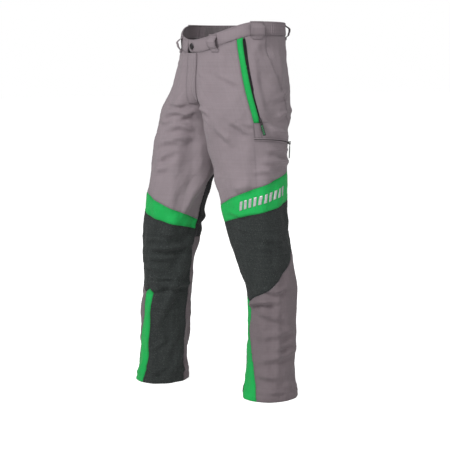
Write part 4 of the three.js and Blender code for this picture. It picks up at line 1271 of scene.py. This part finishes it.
def makeRunTree(name, shape):  # small repeated bodies along a path, facing outwards
    tree = bpy.data.node_groups.new(name, "GeometryNodeTree")
    tree.is_modifier = True
    sockets = tree.interface
    sockets.new_socket("Geometry", in_out="INPUT", socket_type="NodeSocketGeometry")
    for label, kind, value in (
        ("Pitch", "Float", 0.0032), ("Length", "Float", 0.0024), ("Width", "Float", 0.0006),
        ("Height", "Float", 0.0005), ("Sideways", "Float", 0.0), ("Lift", "Float", 0.0), ("Unevenness", "Float", 0.1),
        ("Seed", "Int", 4), ("Finish", "Material", None),
    ):
        socket = sockets.new_socket(label, in_out="INPUT", socket_type="NodeSocket" + kind)
        if value is not None:
            socket.default_value = value
    sockets.new_socket("Geometry", in_out="OUTPUT", socket_type="NodeSocketGeometry")
    new, join = tree.nodes.new, tree.links.new
    inside, outside = new("NodeGroupInput"), new("NodeGroupOutput")
    given = inside.outputs
    curve, spread = new("GeometryNodeMeshToCurve"), new("GeometryNodeResampleCurve")
    spread.mode = "LENGTH"
    join(given["Geometry"], curve.inputs["Mesh"])
    join(curve.outputs[0], spread.inputs["Curve"])
    join(given["Pitch"], spread.inputs["Length"])
    facing = new("GeometryNodeInputNamedAttribute")
    facing.data_type = "FLOAT_VECTOR"
    facing.inputs["Name"].default_value = "facing"
    tangent = new("GeometryNodeInputTangent")
    across = new("ShaderNodeVectorMath")
    across.operation = "CROSS_PRODUCT"
    join(facing.outputs["Attribute"], across.inputs[0])
    join(tangent.outputs[0], across.inputs[1])
    index = new("GeometryNodeInputIndex")
    odd = new("ShaderNodeMath")
    odd.operation = "MODULO"
    join(index.outputs[0], odd.inputs[0])
    odd.inputs[1].default_value = 2.0
    signed = new("ShaderNodeMath")
    signed.operation = "MULTIPLY_ADD"
    join(odd.outputs[0], signed.inputs[0])
    signed.inputs[1].default_value, signed.inputs[2].default_value = 2.0, -1.0
    amount = new("ShaderNodeMath")
    amount.operation = "MULTIPLY"
    join(signed.outputs[0], amount.inputs[0])
    join(given["Sideways"], amount.inputs[1])
    aside, raised, moved = new("ShaderNodeVectorMath"), new("ShaderNodeVectorMath"), new("ShaderNodeVectorMath")
    aside.operation = raised.operation = "SCALE"
    join(across.outputs[0], aside.inputs[0])
    join(amount.outputs[0], aside.inputs["Scale"])
    join(facing.outputs["Attribute"], raised.inputs[0])
    join(given["Lift"], raised.inputs["Scale"])
    join(aside.outputs[0], moved.inputs[0])
    join(raised.outputs[0], moved.inputs[1])
    lie, facingOut = new("FunctionNodeAlignRotationToVector"), new("FunctionNodeAlignRotationToVector")
    lie.axis, facingOut.axis, facingOut.pivot_axis = "X", "Z", "X"
    join(tangent.outputs[0], lie.inputs["Vector"])
    join(lie.outputs[0], facingOut.inputs["Rotation"])
    join(facing.outputs["Attribute"], facingOut.inputs["Vector"])
    turn = new("GeometryNodeStoreNamedAttribute")
    turn.data_type = "QUATERNION"
    turn.inputs["Name"].default_value = "turn"
    join(spread.outputs[0], turn.inputs["Geometry"])
    join(facingOut.outputs[0], turn.inputs["Value"])
    shift = new("GeometryNodeSetPosition")
    join(turn.outputs[0], shift.inputs["Geometry"])
    join(moved.outputs[0], shift.inputs["Offset"])
    if shape == "stitch":
        body = new("GeometryNodeMeshIcoSphere")
        body.inputs["Radius"].default_value = 0.5
        body.inputs["Subdivisions"].default_value = 1
    else:
        body = new("GeometryNodeMeshCube")
    dice = new("FunctionNodeRandomValue")
    dice.data_type = "FLOAT"
    low = new("ShaderNodeMath")
    low.operation = "SUBTRACT"
    low.inputs[0].default_value = 1.0
    join(given["Unevenness"], low.inputs[1])
    dice.inputs[3].default_value = 1.0
    join(low.outputs[0], dice.inputs[2])
    join(given["Seed"], dice.inputs["Seed"])
    size, sized = new("ShaderNodeCombineXYZ"), new("ShaderNodeVectorMath")
    sized.operation = "SCALE"
    for label, socket in zip(("Length", "Width", "Height"), size.inputs):
        join(given[label], socket)
    join(size.outputs[0], sized.inputs[0])
    join(dice.outputs[1], sized.inputs["Scale"])
    turned = new("GeometryNodeInputNamedAttribute")
    turned.data_type = "QUATERNION"
    turned.inputs["Name"].default_value = "turn"
    copies = new("GeometryNodeInstanceOnPoints")
    join(shift.outputs[0], copies.inputs["Points"])
    join(body.outputs[0], copies.inputs["Instance"])
    join(turned.outputs["Attribute"], copies.inputs["Rotation"])
    join(sized.outputs[0], copies.inputs["Scale"])
    real, finish = new("GeometryNodeRealizeInstances"), new("GeometryNodeSetMaterial")
    join(copies.outputs[0], real.inputs[0])
    join(real.outputs[0], finish.inputs["Geometry"])
    join(given["Finish"], finish.inputs["Material"])
    join(finish.outputs[0], outside.inputs[0])
    return tree


def growAlong(name, tree, paths, finish, **sizes):
    carrier = pathsToMesh(name + "Path", paths)
    run = carrier.modifiers.new("run", "NODES")
    run.node_group = tree
    names = {item.name: item.identifier for item in tree.interface.items_tree if item.in_out == "INPUT"}
    for label, value in {**sizes, "Finish": finish}.items():
        run[names[label]] = value
    bpy.context.view_layer.update()
    shown = carrier.evaluated_get(bpy.context.evaluated_depsgraph_get())
    mesh = bpy.data.meshes.new_from_object(shown)
    mesh.name = name
    for old in [a.name for a in mesh.attributes if a.name in ("facing", "turn")]:
        mesh.attributes.remove(mesh.attributes[old])
    piece = bpy.data.objects.new(name, mesh)
    scene.collection.objects.link(piece)
    bpy.data.objects.remove(carrier)
    print("  ", name, len(mesh.polygons), "faces")
    return piece


stitchTree, toothTree = makeRunTree("sewnStitches", "stitch"), makeRunTree("zipTeeth", "tooth")
threadCut = {"Pitch": 0.0034, "Length": 0.0026, "Width": 0.00062, "Height": 0.0005, "Unevenness": 0.15, "Seed": 4}


def threadPath(side, angle, z, out):
    angle, z = np.asarray(angle, float), np.asarray(z, float)
    raised = out[1] + 0.0001 if isinstance(out, tuple) else out + reliefAt(side, angle, z)
    normals = outwards(side, angle, z)
    return onCloth(side, angle, z) + normals * np.asarray(raised)[..., None] + place, normals


def flyPath(xs, zs):
    xs, zs = np.array(xs), np.array(zs)
    side = np.where(xs < 0, -1, 1)
    y = np.array([float(onCloth(int(s), frontAngle(int(s), z, abs(x)), z)[..., 1]) for s, x, z in zip(side, xs, zs)])
    y = y - flapOut(abs(xs)) - 0.0002
    return np.stack([xs, y, zs], -1) + place, np.tile((0.0, -1.0, 0.0), (len(xs), 1))


runs = {}
for colour, side, angle, z, out in panelThreads:
    runs.setdefault(colour, []).append(threadPath(side, angle, z, out))
bend = np.linspace(0, math.pi / 2, 10)
for away in (0.0185, 0.0125):
    xs = np.concatenate([np.full(22, away), away * np.cos(bend), [-0.002]])
    deep = 0.024 + 0.3 * (away - 0.0125)
    zs = np.concatenate([np.linspace(0.951, 0.848, 22), 0.848 - deep * np.sin(bend), [0.823]])
    runs["greyThread"].append(flyPath(xs, zs))
runs["greyThread"].append(flyPath(np.full(26, -0.0195), np.linspace(0.951, 0.818, 26)))
for colour, paths in runs.items():
    piece = growAlong(colour + "Stitches", stitchTree, paths, finishes[colour], **threadCut)
    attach(piece, "garment")

# zips: a woven tape with a row of teeth
teethCut = {"Pitch": 0.0014, "Length": 0.0008, "Width": 0.0026, "Height": 0.0011, "Sideways": 0.0006, "Lift": 0.0005,
            "Unevenness": 0.0, "Seed": 1}


def zipTape(name, node, arc, depth, start=0.0, halfWidth=0.004, finish="blackZipTape"):
    share = np.linspace(start, 1, 60)
    xs = np.linspace(-halfWidth, halfWidth, 7)
    points = np.stack([onArc(arc, share, x, depth) for x in xs], 1)
    normals = np.repeat(arcFacing(arc, share)[:, None], len(xs), 1)
    length = arc["total"] * np.linalg.norm(arc["spoke"])
    grid = {
        "points": points + place, "normals": normals, "near": np.zeros(points.shape[:2]), "turned": False,
        "uv": np.stack(np.meshgrid(xs, share * length), -1),
    }
    made = np.cross(points[0, 1] - points[0, 0], points[1, 0] - points[0, 0]) @ normals[0, 0]
    grid["turned"] = made < 0
    tape = closeShell(name, [grid], 0.0011)
    dress(tape, finishes[finish], (node,))
    return onArc(arc, share, 0, depth) + place, arcFacing(arc, share)


toothPaths, fineTeeth = [], []
for side in (1, -1):
    end, leg = nodeEnd[side], legName[side]
    toothPaths.append(
        zipTape("thighZipTape" + leg, "thigh_zip_tape_" + end, zips[side]["thigh"], zipCut["depth"], 0.015)
    )
    fineTeeth.append(zipTape("cargoZipTape" + leg, "cargo_zip_tape_" + end, zips[side]["cargo"], zipCut["depth"],
                             finish="greyStretchCloth"))
flyMiddle = (zipCut["flyBottom"] + zipCut["flyTop"]) / 2
flyLine = [onCloth(1, frontAngle(1, z), z) for z in (zipCut["flyTop"], flyMiddle, zipCut["flyBottom"])]
flyArc = arcThrough(*flyLine, np.array((0.0, -1.0, 0.0)))
toothPaths.append(zipTape("flyZipTape", "fly_zip_tape", flyArc, zipCut["flyDepth"]))
teeth = growAlong("zipTeethRuns", toothTree, toothPaths, finishes["zipCoilNylon"], **teethCut)
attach(teeth, "garment")
fineCut = {**teethCut, "Width": 0.0016, "Sideways": 0.0003}
fine = growAlong("cargoTeethRuns", toothTree, fineTeeth, finishes["zipCoilNylon"], **fineCut)
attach(fine, "garment")
print("laid the zips")


# metal and moulded pieces
def polished(node, name, body, finish, width):
    source = frame["nodes"][node].data
    co = np.zeros(len(source.vertices) * 3)
    source.vertices.foreach_get("co", co)
    co = co.reshape(-1, 3)
    _, first, same = np.unique(np.round(co, 6), axis=0, return_index=True, return_inverse=True)
    same = same.reshape(-1)
    faces = [tuple(dict.fromkeys(int(same[v]) for v in p.vertices)) for p in source.polygons]
    piece = newMesh(name, co[first], [f for f in faces if len(f) > 2])
    soften = piece.modifiers.new("edges", "BEVEL")
    soften.width, soften.segments, soften.limit_method, soften.angle_limit = width, 2, "ANGLE", math.radians(28)
    bpy.context.view_layer.update()
    mesh = bpy.data.meshes.new_from_object(piece.evaluated_get(bpy.context.evaluated_depsgraph_get()))
    piece.modifiers.clear()
    piece.data = mesh
    mesh.name = name
    mesh.polygons.foreach_set("use_smooth", np.ones(len(mesh.polygons), bool))
    mesh.set_sharp_from_angle(angle=math.radians(50))
    dress(piece, finish, (node,), body=body)
    return co


pullCut = {"bars": 5, "barWidth": 0.0016, "barSlant": 0.0016, "raised": 0.00025, "rim": 0.0006}


def solidBars(name, boxes):  # each box is eight corners
    points, faces = [], []
    for corners in boxes:
        n = len(points)
        points += corners
        faces += [tuple(n + i for i in q) for q in
                  ((0, 3, 2, 1), (4, 5, 6, 7), (0, 1, 5, 4), (1, 2, 6, 5), (2, 3, 7, 6), (3, 0, 4, 7))]
    return newMesh(name, points, faces, 0)


joints = {joint["name"]: joint for joint in frame["joints"]}


def barOn(centre, across, down, out, half, slant, thick, shift):
    corners = []
    for level in (-0.0002, thick):
        for a, d in ((-half[0], -half[1]), (half[0], -half[1]), (half[0], half[1]), (-half[0], half[1])):
            corners.append(tuple(centre + across * a + down * (d + shift + a / half[0] * slant) + out * level))
    return corners


for side in (1, -1):
    end, leg = nodeEnd[side], legName[side]
    for kind in ("thigh", "cargo"):
        stem = f"{kind}_zip_{end}"
        polished(stem + "_slider", f"{kind}ZipSlider{leg}", stem + "_slider", finishes["darkPlatedMetal"],
                 0.00035)
        co = polished(stem + "_pull", f"{kind}ZipPull{leg}", stem + "_pull", finishes["mouldedPullRubber"],
                      0.0004)
        joint = joints[stem + "_swing"]
        pin, across = np.array(joint["pos_m"]), unit(np.array(joint["axis"]))
        far = co[np.linalg.norm(co - pin, axis=1) > 0.03].mean(0) - pin
        down = unit(far - across * (far @ across))
        out = np.cross(across, down)
        reach = ((co - pin) @ down).max()
        thick = (co - pin) @ out
        tabTop, tabMiddle = thick.max(), (thick.max() + thick.min()) / 2
        half = tabTop - tabMiddle
        boxes = []
        tabEnd, tabStart = reach - 0.0026, reach - 0.029
        for face in (1, -1):
            at = pin + out * (tabMiddle + face * half)
            for i in range(pullCut["bars"]):
                share = (i + 0.5) / pullCut["bars"]
                boxes.append(barOn(at, across * face, down, out * face, (0.0022, pullCut["barWidth"] / 2),
                                   pullCut["barSlant"] / 2, pullCut["raised"], mix(tabStart, tabEnd, share)))
        marks = solidBars(f"{kind}PullMarks{leg}", boxes)
        dress(marks, finishes["greenPullInk"], body=stem + "_pull")
polished("fly_zip_slider", "flyZipSlider", "fly_zip_slider", finishes["darkPlatedMetal"], 0.0003)


def turned(name, profile, segments, centre):  # a lathe about the -Y axis; the profile is (radius, height) pairs
    points, faces = [], []
    rows = len(profile)
    for j in range(segments):
        a = 2 * math.pi * j / segments
        points += [(centre[0] + r * math.cos(a), centre[1] - h, centre[2] + r * math.sin(a)) for r, h in profile[1:-1]]
    low, high = len(points), len(points) + 1
    points += [(centre[0], centre[1] - profile[0][1], centre[2]), (centre[0], centre[1] - profile[-1][1], centre[2])]
    n = rows - 2
    for j in range(segments):
        k = (j + 1) % segments
        faces.append((low, k * n, j * n))
        faces += [(j * n + i, k * n + i, k * n + i + 1, j * n + i + 1) for i in range(n - 1)]
        faces.append((high, j * n + n - 1, k * n + n - 1))
    return newMesh(name, points, faces)


buttonCut = {"radius": 0.0085, "base": 0.0012, "segments": 64}
r, b = buttonCut["radius"], buttonCut["base"]
buttonProfile = [
    (0, b), (0.003, b), (0.003, b + 0.0016), (r - 0.0012, b + 0.0016), (r - 0.0004, b + 0.0019), (r, b + 0.0026),
    (r - 0.0001, b + 0.0034), (r - 0.0006, b + 0.004), (r - 0.0014, b + 0.0042), (r - 0.0021, b + 0.0041),
    (r - 0.0026, b + 0.0036), (r - 0.003, b + 0.0034), (r - 0.0042, b + 0.0036), (0.0022, b + 0.0037),
    (0.0018, b + 0.0034), (0.001, b + 0.0033), (0, b + 0.0033),
]
low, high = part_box("waist_button")
button = turned("waistButton", buttonProfile, buttonCut["segments"],
                ((low.x + high.x) / 2, high.y + b, (low.z + high.z) / 2))
button.data.set_sharp_from_angle(angle=math.radians(60))
dress(button, finishes["darkPlatedMetal"], ("waist_button",), body="waist_button")

# plain slanted bars of reflective print on the left knee band
printCut = {"start": 26, "pitch": 9.6, "bars": 10, "width": 5.4, "slant": 170, "half": 0.0115}
middleOf = between(bandLow, bandTop, 0.5)
bars = []
for i in range(printCut["bars"]):
    a = printCut["start"] + i * printCut["pitch"]
    zMid = float(middleOf(a))
    leanLeft = lambda z, a=a, zMid=zMid: a + (z - zMid) * printCut["slant"]
    leanRight = lambda z, a=a, zMid=zMid: a + printCut["width"] + (z - zMid) * printCut["slant"]
    bars.append(patch(1, leanLeft, leanRight, lambda x: middleOf(x) - printCut["half"],
                      lambda x: middleOf(x) + printCut["half"], pitch=0.003, out=0.0009, sewn=(0, 0, 0, 0)))
marks = closeShell("reflectiveBars", bars, 0.0005)
dress(marks, finishes["silverReflectivePrint"], ("reflective_strip",))
print("finished the trims")

# studio
studio = {
    "azimuth": 56.0, "distance": 3.2, "height": 0.91, "pitch": 7.9, "aside": 0.331, "lens": 90.08,
    "key": 104, "fill": 20, "back": 20, "sky": 0.36, "floorGlow": 0.75,
}
az, aside, down = (math.radians(studio[key]) for key in ("azimuth", "aside", "pitch"))
eye = Vector((math.sin(az), -math.cos(az), 0)) * studio["distance"] + Vector((0, 0, studio["height"])) + Vector(place)
ahead, right = Vector((-math.sin(az), math.cos(az), 0)), Vector((math.cos(az), math.sin(az), 0))
ahead = ahead * math.cos(aside) - right * math.sin(aside)
look = ahead * math.cos(down) + Vector((0, 0, -math.sin(down)))
camera = bpy.data.objects.new("camera", bpy.data.cameras.new("camera"))
camera.data.sensor_width, camera.data.lens = 36.0, studio["lens"]
camera.data.clip_start, camera.data.clip_end = 0.05, 60
camera.location = eye
camera.rotation_mode = "QUATERNION"
camera.rotation_quaternion = look.to_track_quat("-Z", "Y")
scene.collection.objects.link(camera)
scene.camera = camera


def softbox(name, spot, aim, size, power):
    lamp = bpy.data.lights.new(name, "AREA")
    lamp.shape, lamp.size, lamp.energy = "SQUARE", size, power
    holder = bpy.data.objects.new(name, lamp)
    holder.location = spot
    holder.rotation_mode = "QUATERNION"
    holder.rotation_quaternion = (Vector(aim) - Vector(spot)).to_track_quat("-Z", "Y")
    scene.collection.objects.link(holder)


softbox("keyLight", (1.0, -3.0, 3.0), (0, 0, 0.55), 1.3, studio["key"])
softbox("fillLight", (3.4, 0.2, 1.2), (0, 0, 0.5), 2.2, studio["fill"])
softbox("backLight", (-2.4, 2.0, 2.4), (0, 0, 0.6), 1.8, studio["back"])


def cameraOnly(tree, strength, other):  # bright where it is seen, softer where it lights the cloth
    path = tree.nodes.new("ShaderNodeLightPath")
    return sums(tree, "ADD", sums(tree, "MULTIPLY", path.outputs["Is Camera Ray"], strength - other), other)


world = bpy.data.worlds.new("studioAir")
world.use_nodes = True
air = world.node_tree.nodes["Background"]
air.inputs["Color"].default_value = (1, 1, 1, 1)
link(world.node_tree, cameraOnly(world.node_tree, 1.0, studio["sky"]), air.inputs["Strength"])
scene.world = world
scene.view_settings.view_transform = "Standard"

floorMesh = bpy.data.meshes.new("studioFloor")
floorMesh.from_pydata([(-30, -30, 0), (30, -30, 0), (30, 30, 0), (-30, 30, 0)], [], [(0, 1, 2, 3)])
floor = bpy.data.objects.new("studioFloor", floorMesh)
scene.collection.objects.link(floor)
pale, tree, skin = startFinish("paleFloor")
spot = tree.nodes.new("ShaderNodeTexCoord").outputs["Object"]
tint = blendColour(tree, speckle(tree, spot, 3.0, 3), paint(228, 228, 228), paint(233, 233, 233))
link(tree, tint, skin.inputs["Base Color"])
link(tree, cameraOnly(tree, studio["floorGlow"], 0.0), skin.inputs["Emission Strength"])
skin.inputs["Emission Color"].default_value = (1, 1, 1, 1)
skin.inputs["Roughness"].default_value = 0.9
floorMesh.materials.append(pale)
print("set the studio")
